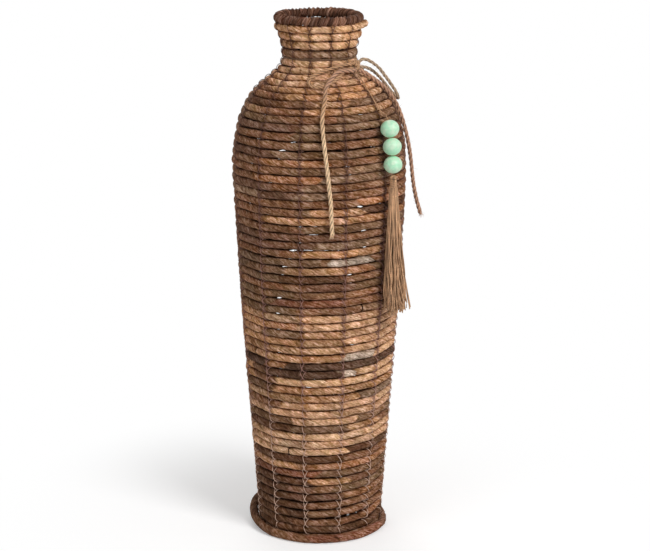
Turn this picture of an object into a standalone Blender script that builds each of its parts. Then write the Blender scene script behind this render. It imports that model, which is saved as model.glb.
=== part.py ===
"""Banana leaf vase: twisted leaf rope wound on a wire frame, with a twine bow and a bead pendant.

The rope is one right-handed winding from the foot to the mouth, made of lengths spliced end to
end. It lies against twelve upright wires, and each row bends a little at every wire. The vase
stands on the flat underside of its base coil and foot rope. Bearings are in degrees round the
upright axis: 0 faces -Y, the front, and they grow to the right of someone who faces the front.
"""
import math

import bmesh
import bpy
import numpy as np
from mathutils import Matrix, Vector

# Overall form, in metres
HEIGHT = 0.600
BELLY_RADIUS = 0.0983
BELLY_HEIGHT = 0.430
NECK_RADIUS = 0.0430
NECK_HEIGHT = 0.553
MOUTH_RADIUS = 0.0500
FOOT_RADIUS = 0.0742
FOOT_ROPE_REACH = 0.0825

# Handles of the outline's three curves, as shares of each curve's own rise and spread
BODY_HANDLE_SHARES = ((0.33, 0.33), (1.0, 0.69))
SHOULDER_HANDLE_SHARES = ((0.0, 0.85), (1.0, 0.75))
THROAT_HANDLE_SHARES = ((0.0, 0.40), (0.5, 0.75))
OUTLINE_STEPS = 60

# Leaf rope
ROPE_RADIUS = 0.00465
ROW_PITCH = 0.00927
ROW_HALF_SHARE = 0.935
ROW_BACK_SHARE = 0.95
ROW_FACE_SHARES = (0.93, 0.48)
STANDING_FACE_SHARES = (0.80, 0.60)
FIRST_CLIMB_SHARE = 0.2
CLIMB_GROWTH_SHARE = 0.1
SPLICE_GAP = 0.0005

# Where each length of the winding ends, as a share of all its turns, and its colour
ROPE_LENGTH_SHARES = (
    ("foot_wall_rope", 0.165, "dark leaf"),
    ("lower_wall_rope", 0.320, "tan leaf"),
    ("stripe_rope", 0.352, "darkest leaf"),
    ("light_band_rope", 0.450, "light leaf"),
    ("waist_rope", 0.530, "dark leaf"),
    ("belly_rope", 0.690, "brown leaf"),
    ("chest_rope", 0.815, "brown leaf"),
    ("shoulder_rope", 0.880, "tan leaf"),
    ("neck_rope", 0.945, "light leaf"),
    ("collar_rope", 0.962, "dark leaf"),
    ("mouth_rope", 1.0, "light leaf"),
)

# The last end of the rope, which stands out under the rim
MOUTH_END_ANGLE = 84.0
MOUTH_END_OUT = 0.0050
MOUTH_END_TURN_SHARE = 0.125

# Rim and base
RIM_RADIUS = 0.0049
RIM_OVERHANG = 0.0005
RIM_STEPS = 36
RIM_SIDES = 8
BASE_CORE_RADIUS = 0.0052
FOOT_ROPE_START_ANGLE = 236.0
FOOT_ROPE_TURN_SHARE = 0.985
FOOT_ROPE_LIFT = 0.0115
FOOT_ROPE_FLARE = 0.0022
FOOT_LIFT_TURN_SHARE = 0.22

# Wire frame
RIBS = 12
FIRST_RIB_ANGLE = 17.5
WIRE_RADIUS = 0.0015
WIRE_SAG = 0.0002
RING_STEPS = 24
WAIST_RING_HEIGHT = 0.216
BAR_TURN_ANGLE = 90.0

# Clearances
SEAT_GAP = 0.0003
RIB_GAP = 0.0006
BEAD_GAP = 0.0005
FOOT_GAP = 0.0004

# Twine
TWINE_RADIUS = 0.0017
TIE_HEIGHT = 0.5480
TIE_STEPS = 36
KNOT_ANGLE = 51.0
KNOT_DROP = 0.0029
KNOT_HALF_LENGTH = 0.0055
KNOT_HALF_HEIGHT = 0.0048
KNOT_DEPTH_SHARE = 0.72
KNOT_PROFILE_SHARES = (
    (-1.0, 0.34), (-0.82, 0.66), (-0.55, 0.86), (-0.40, 0.74), (-0.26, 0.96),
    (0.0, 1.0), (0.26, 0.96), (0.40, 0.74), (0.55, 0.86), (0.82, 0.66), (1.0, 0.34),
)
KNOT_SIDES = 12
CORD_STEP_DIAMETERS = 2.4

# Pendant
STRING_RADIUS = 0.0007
BEAD_RADIUS = 0.01025
BEAD_HALF_LENGTH = 0.0096
BORE_RADIUS = 0.0011
BEAD_STEPS = 9
BEAD_SEGMENTS = 20
PENDANT_ANGLE = 47.8
FIRST_BEAD_OUT = 0.1036
FIRST_BEAD_HEIGHT = 0.4812
BEAD_TILT_ANGLES = (15.0, 6.0, 2.0)
TASSEL_LENGTH = 0.159
TASSEL_TIP_RADIUS = 0.0010
TASSEL_TIP_DROP = 0.0010
TASSEL_CROWN_RADIUS = 0.0046
TASSEL_CROWN_LENGTH = 0.0050
TASSEL_BINDING_RADIUS = 0.0041
TASSEL_BINDING_LENGTH = 0.0110
TASSEL_BINDING_TURNS = 3
TASSEL_SPREAD = 0.0138
TASSEL_LEAN = 0.0065
TASSEL_STRANDS = 12
TASSEL_GROOVE_SHARE = 0.13
TASSEL_SPREAD_SHARES = ((0.0, 0.34), (0.16, 0.42), (0.40, 0.62), (0.70, 0.86), (1.0, 1.0))

# Routes of the free twine and string, as (bearing, radius, height)
LEFT_LOOP_ROUTE = (
    (43.6, 0.0504, 0.5473), (37.0, 0.0496, 0.5470), (29.0, 0.0489, 0.5459), (20.5, 0.0484, 0.5443),
    (12.0, 0.0489, 0.5424), (3.5, 0.0506, 0.5405), (-4.0, 0.0534, 0.5378), (-9.3, 0.0576, 0.5342),
    (-10.6, 0.0622, 0.5304), (-7.4, 0.0658, 0.5273), (-1.2, 0.0671, 0.5260), (5.5, 0.0660, 0.5269),
    (11.5, 0.0631, 0.5293), (17.5, 0.0593, 0.5326), (24.0, 0.0552, 0.5362), (31.0, 0.0522, 0.5392),
    (38.0, 0.0511, 0.5414), (44.0, 0.0510, 0.5429),
)
RIGHT_LOOP_ROUTE = (
    (58.0, 0.0509, 0.5476), (61.5, 0.0526, 0.5514), (65.5, 0.0563, 0.5532), (69.5, 0.0620, 0.5498),
    (73.0, 0.0690, 0.5420), (75.5, 0.0760, 0.5320), (77.5, 0.0824, 0.5216), (79.5, 0.0876, 0.5126),
    (82.3, 0.0906, 0.5064), (86.3, 0.0902, 0.5034), (89.5, 0.0864, 0.5053), (90.3, 0.0808, 0.5119),
    (88.0, 0.0744, 0.5204), (83.5, 0.0680, 0.5289), (77.5, 0.0618, 0.5361), (69.0, 0.0560, 0.5413),
    (58.0, 0.0514, 0.5432),
)
FRONT_TAIL_ROUTE = (
    (46.8, 0.0524, 0.5395), (40.5, 0.0553, 0.5406), (33.0, 0.0558, 0.5414), (26.5, 0.0559, 0.5412),
    (20.5, 0.0568, 0.5401), (14.5, 0.0609, 0.5364), (9.3, 0.0672, 0.5309), (6.0, 0.0726, 0.5260),
    (4.8, 0.0770, 0.5184), (4.0, 0.0815, 0.5106), (2.6, 0.0868, 0.5016), (2.0, 0.0907, 0.4928),
    (2.3, 0.0944, 0.4824), (3.4, 0.0986, 0.4625), (4.8, 0.1006, 0.4420), (6.0, 0.1008, 0.4218),
    (7.0, 0.1005, 0.4057), (7.6, 0.1001, 0.3855), (8.0, 0.0998, 0.3693),
)
SIDE_TAIL_ROUTE = (
    (55.2, 0.0520, 0.5405), (61.0, 0.0556, 0.5372), (66.0, 0.0597, 0.5336), (70.5, 0.0650, 0.5286),
    (73.5, 0.0715, 0.5228), (76.0, 0.0782, 0.5156), (78.0, 0.0843, 0.5070), (79.0, 0.0890, 0.4976),
    (80.0, 0.0932, 0.4864), (81.0, 0.0970, 0.4730), (82.5, 0.1001, 0.4590), (84.0, 0.1024, 0.4450),
    (85.0, 0.1042, 0.4310), (86.0, 0.1056, 0.4170), (87.0, 0.1074, 0.4040), (88.0, 0.1100, 0.3910),
    (89.0, 0.1130, 0.3800), (89.5, 0.1152, 0.3726),
)
STRING_ROUTE = (
    (51.2, 0.0508, 0.5395), (51.1, 0.0541, 0.5359), (50.6, 0.0580, 0.5325), (49.6, 0.0625, 0.5289),
    (48.2, 0.0685, 0.5236), (47.5, 0.0750, 0.5173), (47.5, 0.0818, 0.5088), (47.6, 0.0880, 0.5010),
    (47.8, 0.0932, 0.4974), (47.8, 0.0969, 0.4955),
)
BEAD_STRING_LEAD = ((47.8, 0.0975, 0.4950), (47.8, 0.0993, 0.4929))

# Base colour, roughness and metallic value of each finish
FINISHES = {
    "light leaf": ((0.56, 0.36, 0.22), 0.80, 0.0),
    "tan leaf": ((0.44, 0.26, 0.15), 0.80, 0.0),
    "brown leaf": ((0.26, 0.15, 0.09), 0.82, 0.0),
    "dark leaf": ((0.17, 0.10, 0.065), 0.82, 0.0),
    "darkest leaf": ((0.09, 0.055, 0.04), 0.84, 0.0),
    "rim leaf": ((0.12, 0.06, 0.05), 0.78, 0.0),
    "iron wire": ((0.10, 0.09, 0.085), 0.45, 1.0),
    "jute": ((0.42, 0.29, 0.17), 0.88, 0.0),
    "mint bead": ((0.36, 0.76, 0.50), 0.38, 0.0),
}
RIB_ANGLE = 360.0 / RIBS


def place(bearing, radius, height):
    """Point at a bearing in degrees, a distance from the axis and a height."""
    angle = math.radians(bearing)
    return Vector((radius * math.sin(angle), -radius * math.cos(angle), height))


def finish(name):
    """Material of one finish, made on first use."""
    material = bpy.data.materials.get(name)
    if material is None:
        colour, roughness, metallic = FINISHES[name]
        material = bpy.data.materials.new(name)
        material.use_nodes = True
        shader = material.node_tree.nodes["Principled BSDF"]
        shader.inputs["Base Color"].default_value = (*colour, 1.0)
        shader.inputs["Roughness"].default_value = roughness
        shader.inputs["Metallic"].default_value = metallic
    return material


def add_object(name, data, finish_name):
    """Put mesh or curve data into the scene under a name, with a material of its own."""
    own_finish = finish(finish_name).copy()
    own_finish.name = f"{name} {finish_name}"
    data.materials.append(own_finish)
    piece = bpy.data.objects.new(name, data)
    bpy.context.scene.collection.objects.link(piece)
    return piece


def skin(name, rings, finish_name, closed=False, smooth=False):
    """Closed solid skinned over rings of points; a row of rings has a flat face at each end."""
    work = bmesh.new()
    loops = [[work.verts.new(point) for point in ring] for ring in rings]
    followers = loops[1:] + loops[:1] if closed else loops[1:]
    for loop, follower in zip(loops, followers):
        for index, corner in enumerate(loop):
            following = (index + 1) % len(loop)
            work.faces.new((corner, loop[following], follower[following], follower[index]))
    if not closed:
        work.faces.new(loops[0])
        work.faces.new(loops[-1])
    bmesh.ops.recalc_face_normals(work, faces=work.faces)
    mesh = bpy.data.meshes.new(name)
    work.to_mesh(mesh)
    work.free()
    if smooth:
        mesh.shade_smooth()
        mesh.set_sharp_from_angle(angle=math.radians(50.0))
    return add_object(name, mesh, finish_name)


def tube(name, points, radius, finish_name, resolution=2, closed=False):
    """Round tube along points, with filled caps unless it is a closed ring."""
    curve = bpy.data.curves.new(name, "CURVE")
    curve.dimensions = "3D"
    curve.bevel_depth = radius
    curve.bevel_resolution = resolution
    curve.use_fill_caps = not closed
    spline = curve.splines.new("POLY")
    spline.points.add(len(points) - 1)
    for knot, point in zip(spline.points, points):
        knot.co = (*point, 1.0)
    spline.use_cyclic_u = closed
    return add_object(name, curve, finish_name)


def cubic(start, leave, arrive, end):
    """Points on one cubic curve, with both its ends."""
    share = np.linspace(0.0, 1.0, OUTLINE_STEPS + 1)[:, None]
    rest = 1.0 - share
    return rest**3 * start + 3 * rest**2 * share * leave + 3 * rest * share**2 * arrive + share**3 * end


def span(start, end, handle_shares):
    """One curve of the outline, its handles set as shares of its spread and rise."""
    start, end = np.array(start), np.array(end)
    leave, arrive = (start + (end - start) * np.array(shares) for shares in handle_shares)
    return cubic(start, leave, arrive, end)


ROW_HALF = ROW_HALF_SHARE * ROPE_RADIUS
ROW_BACK = ROW_BACK_SHARE * ROPE_RADIUS
COIL_HEIGHT = STANDING_FACE_SHARES[0] * ROPE_RADIUS
COIL_TOP = COIL_HEIGHT + ROW_BACK
FIRST_ROW_HEIGHT = COIL_TOP + SEAT_GAP + ROW_HALF
LAST_ROW_HEIGHT = HEIGHT - 2 * RIM_RADIUS - SEAT_GAP - ROW_HALF


class RowLine:
    """The line that the middle of the rope follows up the wall, as radius and height."""

    def __init__(self):
        """Draw the outline through foot, belly, neck and mouth, and set it in by the rope's radius."""
        foot = (FOOT_RADIUS, FIRST_ROW_HEIGHT)
        belly = (BELLY_RADIUS, BELLY_HEIGHT)
        neck = (NECK_RADIUS, NECK_HEIGHT)
        mouth = (MOUTH_RADIUS, LAST_ROW_HEIGHT)
        body = span(foot, belly, BODY_HANDLE_SHARES)
        shoulder = span(belly, neck, SHOULDER_HANDLE_SHARES)
        throat = span(neck, mouth, THROAT_HANDLE_SHARES)
        outline = np.vstack([body, shoulder[1:], throat[1:]])
        along = np.gradient(outline, axis=0)
        along /= np.linalg.norm(along, axis=1)[:, None]
        self.outward = np.column_stack([along[:, 1], -along[:, 0]])
        self.middle = outline - self.outward * ROPE_RADIUS
        walked = np.linalg.norm(np.diff(self.middle, axis=0), axis=1)
        self.distance = np.concatenate([[0.0], np.cumsum(walked)])
        self.length = float(np.interp(LAST_ROW_HEIGHT, self.middle[:, 1], self.distance))

    def at(self, distance):
        """Middle of the rope and outward direction at a distance along the line."""
        middle = [np.interp(distance, self.distance, self.middle[:, axis]) for axis in (0, 1)]
        outward = [np.interp(distance, self.distance, self.outward[:, axis]) for axis in (0, 1)]
        return np.array(middle), np.array(outward)

    def radius_at(self, height):
        """Radius of the rope's middle at a height."""
        return float(np.interp(height, self.middle[:, 1], self.middle[:, 0]))


ROW_LINE = RowLine()
TURNS = ROW_LINE.length / ROW_PITCH


def section(bearing, middle, outward, face_shares):
    """Corners of the rope's section in the upright plane at a bearing.

    One side is a flat face, as far out and half as wide as the two shares of the rope's radius.
    """
    along = np.array([-outward[1], outward[0]])
    out, half = face_shares
    shares = ((out, -half), (out, half), (0.0, ROW_HALF_SHARE), (-ROW_BACK_SHARE, 0.0), (0.0, -ROW_HALF_SHARE))
    corners = [middle + ROPE_RADIUS * (far * outward + up * along) for far, up in shares]
    return [place(bearing, radius, height) for radius, height in corners]


def level_climb(turns):
    """Rows climbed after some turns from a level end, where each row climbs in its last part.

    The part grows from row to row until the climb is even, so that a flat rim or base meets
    the first row almost all round.
    """
    row = math.floor(turns)
    climbing = min(1.0, FIRST_CLIMB_SHARE + row * CLIMB_GROWTH_SHARE)
    return row + max(0.0, (turns - row - (1.0 - climbing)) / climbing)


def climb(turns):
    """Rows climbed after some turns of the whole winding, which is level at both ends."""
    if turns < TURNS / 2:
        return level_climb(turns)
    return TURNS - level_climb(TURNS - turns)


def wall_section(turns):
    """Section of the rope after some turns of the winding."""
    bearing = MOUTH_END_ANGLE - 360.0 * (TURNS - turns)
    middle, outward = ROW_LINE.at(climb(turns) * ROW_PITCH)
    leaving = max(0.0, 1.0 - (TURNS - turns) / MOUTH_END_TURN_SHARE) ** 2
    middle = middle + np.array([MOUTH_END_OUT * leaving, 0.0])
    return section(bearing, middle, outward, ROW_FACE_SHARES)


START_ANGLE = MOUTH_END_ANGLE - 360.0 * TURNS
FIRST_CROSSING = ((FIRST_RIB_ANGLE - START_ANGLE) / RIB_ANGLE) % 1.0
CROSSINGS = int(TURNS * RIBS - FIRST_CROSSING) + 1


def crossing(index):
    """Turns after which the winding crosses a rib for the given time."""
    return (FIRST_CROSSING + index) / RIBS


def splice_crossings(share):
    """Crossing just after which the winding is spliced, nearest to a share of all its turns."""
    return min(max(int(share * TURNS * RIBS - FIRST_CROSSING), 0), CROSSINGS - 2)


def splice_section(index, side):
    """Section half way between a crossing and the next, half a splice gap to one side of it."""
    start, end = wall_section(crossing(index)), wall_section(crossing(index + 1))
    straight = (end[0] - start[0]).length
    share = 1 / 2 + side * SPLICE_GAP / 2 / straight
    return [low.lerp(high, share) for low, high in zip(start, end)]


def rope_length(name, first_share, last_share, finish_name):
    """One length of the winding: a section at every rib it crosses, and one at each end."""
    first, last = 0, CROSSINGS - 1
    start, end = wall_section(crossing(0) / 2), wall_section(TURNS)
    if first_share > 0:
        first = splice_crossings(first_share) + 1
        start = splice_section(first - 1, 1)
    if last_share < 1:
        last = splice_crossings(last_share)
        end = splice_section(last, -1)
    inner = [wall_section(crossing(index)) for index in range(first, last + 1)]
    return skin(name, [start, *inner, end], finish_name)


def least_row_gap():
    """Least gap between a row and the row above it, measured on points along both sections."""
    least = math.inf
    for index in range(CROSSINGS - RIBS):
        sides = []
        for at in (index, index + RIBS):
            ring = np.array([(point.xy.length, point.z) for point in wall_section(crossing(at))])
            shares = np.linspace(0, 1, 9)[:, None, None]
            sides.append((ring + (np.roll(ring, -1, axis=0) - ring) * shares).reshape(-1, 2))
        apart = np.linalg.norm(sides[0][:, None] - sides[1][None], axis=2)
        least = min(least, float(apart.min()))
    return least


def make_wall():
    """All lengths of the wall's rope, foot to mouth."""
    first_share = 0.0
    for name, last_share, finish_name in ROPE_LENGTH_SHARES:
        rope_length(name, first_share, last_share, finish_name)
        first_share = last_share
    print(f"wall winding: {TURNS:.1f} turns, least gap to itself {least_row_gap() * 1000:.2f} mm")


def standing_section(bearing, radius, height):
    """Section of a rope that lies flat side down."""
    return section(bearing, np.array([radius, height]), np.array([0.0, -1.0]), STANDING_FACE_SHARES)


def make_base_coil():
    """Flat coil of rope that closes the bottom, wound outwards to meet the foot rope."""
    outer = FOOT_ROPE_REACH - 3 * ROW_HALF - FOOT_GAP
    turns = (outer - BASE_CORE_RADIUS) / ROW_PITCH
    steps = round(turns * RIBS)
    rings = []
    for step in range(steps, -1, -1):
        left = turns * step / steps
        radius = outer - ROW_PITCH * level_climb(left)
        rings.append(standing_section(FOOT_ROPE_START_ANGLE + RIB_ANGLE * step, radius, COIL_HEIGHT))
    skin("base_coil", rings, "dark leaf")
    print(f"base coil: {turns:.1f} turns, least gap to itself {(ROW_PITCH - 2 * ROW_HALF) * 1000:.2f} mm")


def make_foot_rope():
    """Thick turn round the base's edge, whose far end rises beside the wall at the left."""
    rings = []
    for turned in [*np.arange(0.0, FOOT_ROPE_TURN_SHARE, 1 / (2 * RIBS)), FOOT_ROPE_TURN_SHARE]:
        risen = max(0.0, 1.0 - (FOOT_ROPE_TURN_SHARE - turned) / FOOT_LIFT_TURN_SHARE)
        eased = risen * risen * (3.0 - 2.0 * risen)
        radius = FOOT_ROPE_REACH - ROW_HALF + FOOT_ROPE_FLARE * min(1.0, 3.0 * risen)
        height = COIL_HEIGHT + FOOT_ROPE_LIFT * eased
        rings.append(standing_section(FOOT_ROPE_START_ANGLE - 360.0 * turned, radius, height))
    skin("foot_rope", rings, "dark leaf")


def make_rim():
    """Wrapped ring that finishes the mouth, seated on the last row."""
    radius = ROW_LINE.radius_at(LAST_ROW_HEIGHT) + RIM_OVERHANG
    rings = []
    for step in range(RIM_STEPS):
        bearing = FIRST_RIB_ANGLE + 360.0 * step / RIM_STEPS
        angles = [2 * math.pi * side / RIM_SIDES for side in range(RIM_SIDES)]
        rings.append([
            place(bearing, radius + RIM_RADIUS * math.cos(angle), HEIGHT - RIM_RADIUS + RIM_RADIUS * math.sin(angle))
            for angle in angles
        ])
    skin("rim_ring", rings, "rim leaf", closed=True, smooth=True)


def rib_line():
    """Radius and height of a rib's middle, whose straights stray little from the row line."""
    slopes = np.unwrap(np.arctan2(ROW_LINE.outward[:, 1], ROW_LINE.outward[:, 0]))
    stops = [0]
    last = int(np.searchsorted(ROW_LINE.distance, ROW_LINE.length)) - 1
    for index in range(last + 1):
        straight = ROW_LINE.distance[index] - ROW_LINE.distance[stops[-1]]
        if straight * abs(slopes[index] - slopes[stops[-1]]) / 8 > WIRE_SAG or index == last:
            stops.append(index)
    line = ROW_LINE.middle[stops] - ROW_LINE.outward[stops] * (ROW_BACK + RIB_GAP + WIRE_RADIUS)
    line[0][1] = COIL_TOP + 2 * SEAT_GAP
    return line


def make_ribs():
    """Upright wires that the rope is bound to."""
    line = rib_line()
    for index in range(RIBS):
        bearing = FIRST_RIB_ANGLE + RIB_ANGLE * index
        points = [place(bearing, radius, height) for radius, height in line]
        tube(f"rib_{index + 1:02d}", points, WIRE_RADIUS, "iron wire", resolution=1)


def ring_radius(height):
    """Radius of a wire ring that lies against the inner side of the ribs at a height."""
    line = rib_line()
    rib = float(np.interp(height, line[:, 1], line[:, 0]))
    slope = np.gradient(line, axis=0)
    steep = np.interp(height, line[:, 1], slope[:, 1] / np.linalg.norm(slope, axis=1))
    return rib - (2 * WIRE_RADIUS + SEAT_GAP) / float(steep)


def make_rings():
    """Wire rings that hold the ribs apart, and the two bars across the lowest one."""
    bar_height = COIL_TOP + SEAT_GAP + WIRE_RADIUS
    foot_height = bar_height + 2 * WIRE_RADIUS + SEAT_GAP
    heights = {
        "foot_wire": foot_height,
        "waist_wire": WAIST_RING_HEIGHT,
        "belly_wire": BELLY_HEIGHT,
        "mouth_wire": LAST_ROW_HEIGHT - WIRE_RADIUS,
    }
    for name, height in heights.items():
        radius = ring_radius(height)
        steps = range(RING_STEPS)
        points = [place(FIRST_RIB_ANGLE + 360.0 * step / RING_STEPS, radius, height) for step in steps]
        tube(name, points, WIRE_RADIUS, "iron wire", resolution=1, closed=True)
    reach = ring_radius(foot_height)
    lower = [place(FIRST_RIB_ANGLE + turn, reach, bar_height) for turn in (0.0, 180.0)]
    tube("base_bar_lower", lower, WIRE_RADIUS, "iron wire", resolution=1)
    inner_reach = reach - WIRE_RADIUS - RIB_GAP
    upper = [place(FIRST_RIB_ANGLE + BAR_TURN_ANGLE + turn, inner_reach, foot_height) for turn in (0.0, 180.0)]
    tube("base_bar_upper", upper, WIRE_RADIUS, "iron wire", resolution=1)


def smooth_points(route, diameter):
    """Points a few diameters apart on one smooth curve through a route's own points."""
    knots = [place(*stop) for stop in route]
    padded = [2 * knots[0] - knots[1], *knots, 2 * knots[-1] - knots[-2]]
    fine = []
    for before, here, there, after in zip(padded, padded[1:], padded[2:], padded[3:]):
        for share in np.linspace(0.0, 1.0, 12, endpoint=False):
            bend = 2 * before - 5 * here + 4 * there - after
            twist = 3 * here - before - 3 * there + after
            fine.append((2 * here + (there - before) * share + bend * share**2 + twist * share**3) / 2)
    fine.append(knots[-1])
    walked = np.concatenate([[0.0], np.cumsum([(b - a).length for a, b in zip(fine, fine[1:])])])
    count = max(4, round(walked[-1] / (CORD_STEP_DIAMETERS * diameter)))
    wanted = np.linspace(0.0, walked[-1], count + 1)
    places = [np.interp(wanted, walked, [point[axis] for point in fine]) for axis in range(3)]
    return [Vector(point) for point in zip(*places)]


def cord(name, route, radius):
    """Free twine or string along its route."""
    return tube(name, smooth_points(route, 2 * radius), radius, "jute")


def clear_radius(height, reach):
    """Radius at which a piece that reaches some way from its middle, at a height, clears every row."""
    apart = ROW_FACE_SHARES[0] * ROPE_RADIUS + SEAT_GAP + reach
    rise = ROW_LINE.middle[:, 1] - height
    near = np.abs(rise) <= max(apart, float(np.abs(rise).min()))
    spread = np.sqrt(np.maximum(0.0, apart**2 - rise[near] ** 2))
    return float((ROW_LINE.middle[near, 0] + spread).max())


def tie_radius():
    """Radius of the twine's turn round the neck, lying on the faces of the rows."""
    return clear_radius(TIE_HEIGHT, TWINE_RADIUS)


def make_neck_tie():
    """Turn of twine round the neck."""
    bearings = [FIRST_RIB_ANGLE + 360.0 * step / TIE_STEPS for step in range(TIE_STEPS)]
    points = [place(bearing, tie_radius(), TIE_HEIGHT) for bearing in bearings]
    tube("neck_tie", points, TWINE_RADIUS, "jute", resolution=1, closed=True)


def make_knot():
    """Knot of the bow, seated on the tie: two bulges with a turn of twine round the middle."""
    reach = TWINE_RADIUS + SEAT_GAP
    level = math.sqrt(1 - (KNOT_DROP / (KNOT_HALF_HEIGHT + reach)) ** 2)
    seat = (KNOT_DEPTH_SHARE * KNOT_HALF_HEIGHT + reach) * level
    height = TIE_HEIGHT - KNOT_DROP
    middle = place(KNOT_ANGLE, max(tie_radius() + seat, clear_radius(height, KNOT_HALF_HEIGHT)), height)
    right = place(KNOT_ANGLE + 90.0, 1.0, 0.0)
    out = place(KNOT_ANGLE, 1.0, 0.0)
    rings = []
    for along, share in KNOT_PROFILE_SHARES:
        half = KNOT_HALF_HEIGHT * share
        angles = [2 * math.pi * side / KNOT_SIDES for side in range(KNOT_SIDES)]
        rings.append([
            middle + right * (KNOT_HALF_LENGTH * along)
            + out * (KNOT_DEPTH_SHARE * half * math.cos(angle)) + Vector((0.0, 0.0, half * math.sin(angle)))
            for angle in angles
        ])
    skin("bow_knot", rings, "jute", smooth=True)


def make_bow():
    """Knot, loops and tails of the twine bow."""
    make_neck_tie()
    make_knot()
    cord("bow_loop_left", LEFT_LOOP_ROUTE, TWINE_RADIUS)
    cord("bow_loop_right", RIGHT_LOOP_ROUTE, TWINE_RADIUS)
    cord("bow_tail_front", FRONT_TAIL_ROUTE, TWINE_RADIUS)
    cord("bow_tail_side", SIDE_TAIL_ROUTE, TWINE_RADIUS)


def bead_places():
    """Middle and upward bore direction of each bead, each bead meeting the next at its bore."""
    places = []
    end = None
    for tilt in BEAD_TILT_ANGLES:
        lean = math.radians(tilt)
        up = place(PENDANT_ANGLE, -math.sin(lean), math.cos(lean))
        if end is None:
            middle = place(PENDANT_ANGLE, FIRST_BEAD_OUT, FIRST_BEAD_HEIGHT)
        else:
            middle = end - up * (BEAD_HALF_LENGTH + BEAD_GAP)
        places.append((middle, up))
        end = middle - up * BEAD_HALF_LENGTH
    return places


def bead_rings(middle, up):
    """Rings of a bead with a bore along its own line: down the outside, up the bore."""
    side = up.orthogonal().normalized()
    front = up.cross(side)
    least = math.asin(BORE_RADIUS / BEAD_RADIUS)
    polar = np.linspace(least, math.pi - least, BEAD_STEPS)
    outside = [(BEAD_RADIUS * math.sin(angle), BEAD_HALF_LENGTH * math.cos(angle)) for angle in polar]
    rings = []
    for radius, height in outside:
        angles = [2 * math.pi * step / BEAD_SEGMENTS for step in range(BEAD_SEGMENTS)]
        rings.append([
            middle + up * height + side * (radius * math.cos(angle)) + front * (radius * math.sin(angle))
            for angle in angles
        ])
    return rings


def empty(name, point, parent=None):
    """Axis marker that moving pieces hang from."""
    marker = bpy.data.objects.new(name, None)
    bpy.context.scene.collection.objects.link(marker)
    carry(marker, point, parent)
    return marker


def carry(piece, origin, parent):
    """Set a piece's origin on its axis and hang it from its parent."""
    if piece.data is not None:
        piece.data.transform(Matrix.Translation(-origin))
    base = Vector((0.0, 0.0, 0.0))
    carrier = parent
    while carrier is not None:
        base += carrier.location
        carrier = carrier.parent
    piece.parent = parent
    piece.location = origin - base


def make_beads(hinge):
    """Three beads on the pendant's string, each free to turn on it."""
    for index, (middle, up) in enumerate(bead_places()):
        bead = skin(f"bead_{index + 1}", bead_rings(middle, up), "mint bead", closed=True, smooth=True)
        carry(bead, middle, hinge)


def tassel_top():
    """Point where the tassel hangs from the string, just under the last bead."""
    middle, up = bead_places()[-1]
    return middle - up * (BEAD_HALF_LENGTH + BEAD_GAP)


def make_tassel(hinge):
    """Binding and skirt of the tassel, leaning a little to the right as it hangs."""
    top = tassel_top()
    right = place(PENDANT_ANGLE + 90.0, 1.0, 0.0)
    out = place(PENDANT_ANGLE, 1.0, 0.0)

    def ring(drop, radius, grooves):
        """Ring of the tassel at a drop below its top."""
        middle = top + right * (TASSEL_LEAN * drop / TASSEL_LENGTH) - Vector((0.0, 0.0, drop))
        count = 2 * TASSEL_STRANDS
        points = []
        for step in range(count):
            angle = 2 * math.pi * step / count
            reach = radius * (1.0 - grooves * (step % 2))
            points.append(middle + right * (reach * math.cos(angle)) + out * (reach * math.sin(angle)))
        return points

    half_turn = TASSEL_BINDING_LENGTH / (2 * TASSEL_BINDING_TURNS)
    groove_radius = TASSEL_BINDING_RADIUS * (1.0 - TASSEL_GROOVE_SHARE)
    crown = TASSEL_TIP_DROP + TASSEL_CROWN_LENGTH
    binding = [ring(TASSEL_TIP_DROP, TASSEL_TIP_RADIUS, 0.0), ring(crown, TASSEL_CROWN_RADIUS, 0.0)]
    for index in range(2 * TASSEL_BINDING_TURNS + 1):
        radius = TASSEL_BINDING_RADIUS if index % 2 else groove_radius
        binding.append(ring(crown + half_turn * (index + 1 / 2), radius, 0.0))
    head = skin("tassel_binding", binding, "jute")
    carry(head, top, hinge)

    start = crown + half_turn * (2 * TASSEL_BINDING_TURNS + 1 / 2) + SEAT_GAP
    rings = [
        ring(start + (TASSEL_LENGTH - start) * drop_share, TASSEL_SPREAD * radius_share, TASSEL_GROOVE_SHARE)
        for drop_share, radius_share in TASSEL_SPREAD_SHARES
    ]
    skirt = skin("tassel_skirt", rings, "jute")
    carry(skirt, top, hinge)


def bead_string_points():
    """String from the shoulder's edge through the beads to the tassel."""
    lead = [place(*stop) for stop in BEAD_STRING_LEAD]
    through = []
    for middle, up in bead_places():
        through += [middle + up * BEAD_HALF_LENGTH, middle]
    return [*lead, *through, tassel_top()]


def make_pendant():
    """String, beads and tassel that hang from the bow's knot."""
    knot_end = place(*STRING_ROUTE[0])
    bead_end = place(*BEAD_STRING_LEAD[0])
    string_hinge = empty("pendant_hinge", knot_end)
    bead_hinge = empty("bead_hinge", bead_end, string_hinge)
    tassel_hinge = empty("tassel_hinge", tassel_top(), bead_hinge)
    string = cord("pendant_string", STRING_ROUTE, STRING_RADIUS)
    carry(string, knot_end, string_hinge)
    bead_string = tube("bead_string", bead_string_points(), STRING_RADIUS, "jute")
    carry(bead_string, bead_end, bead_hinge)
    make_beads(bead_hinge)
    make_tassel(tassel_hinge)


def main():
    """Clear the scene and build the vase from the base up."""
    for old in list(bpy.data.objects):
        bpy.data.objects.remove(old, do_unlink=True)
    make_base_coil()
    make_foot_rope()
    make_wall()
    make_rim()
    make_ribs()
    make_rings()
    make_bow()
    make_pendant()


main()
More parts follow.
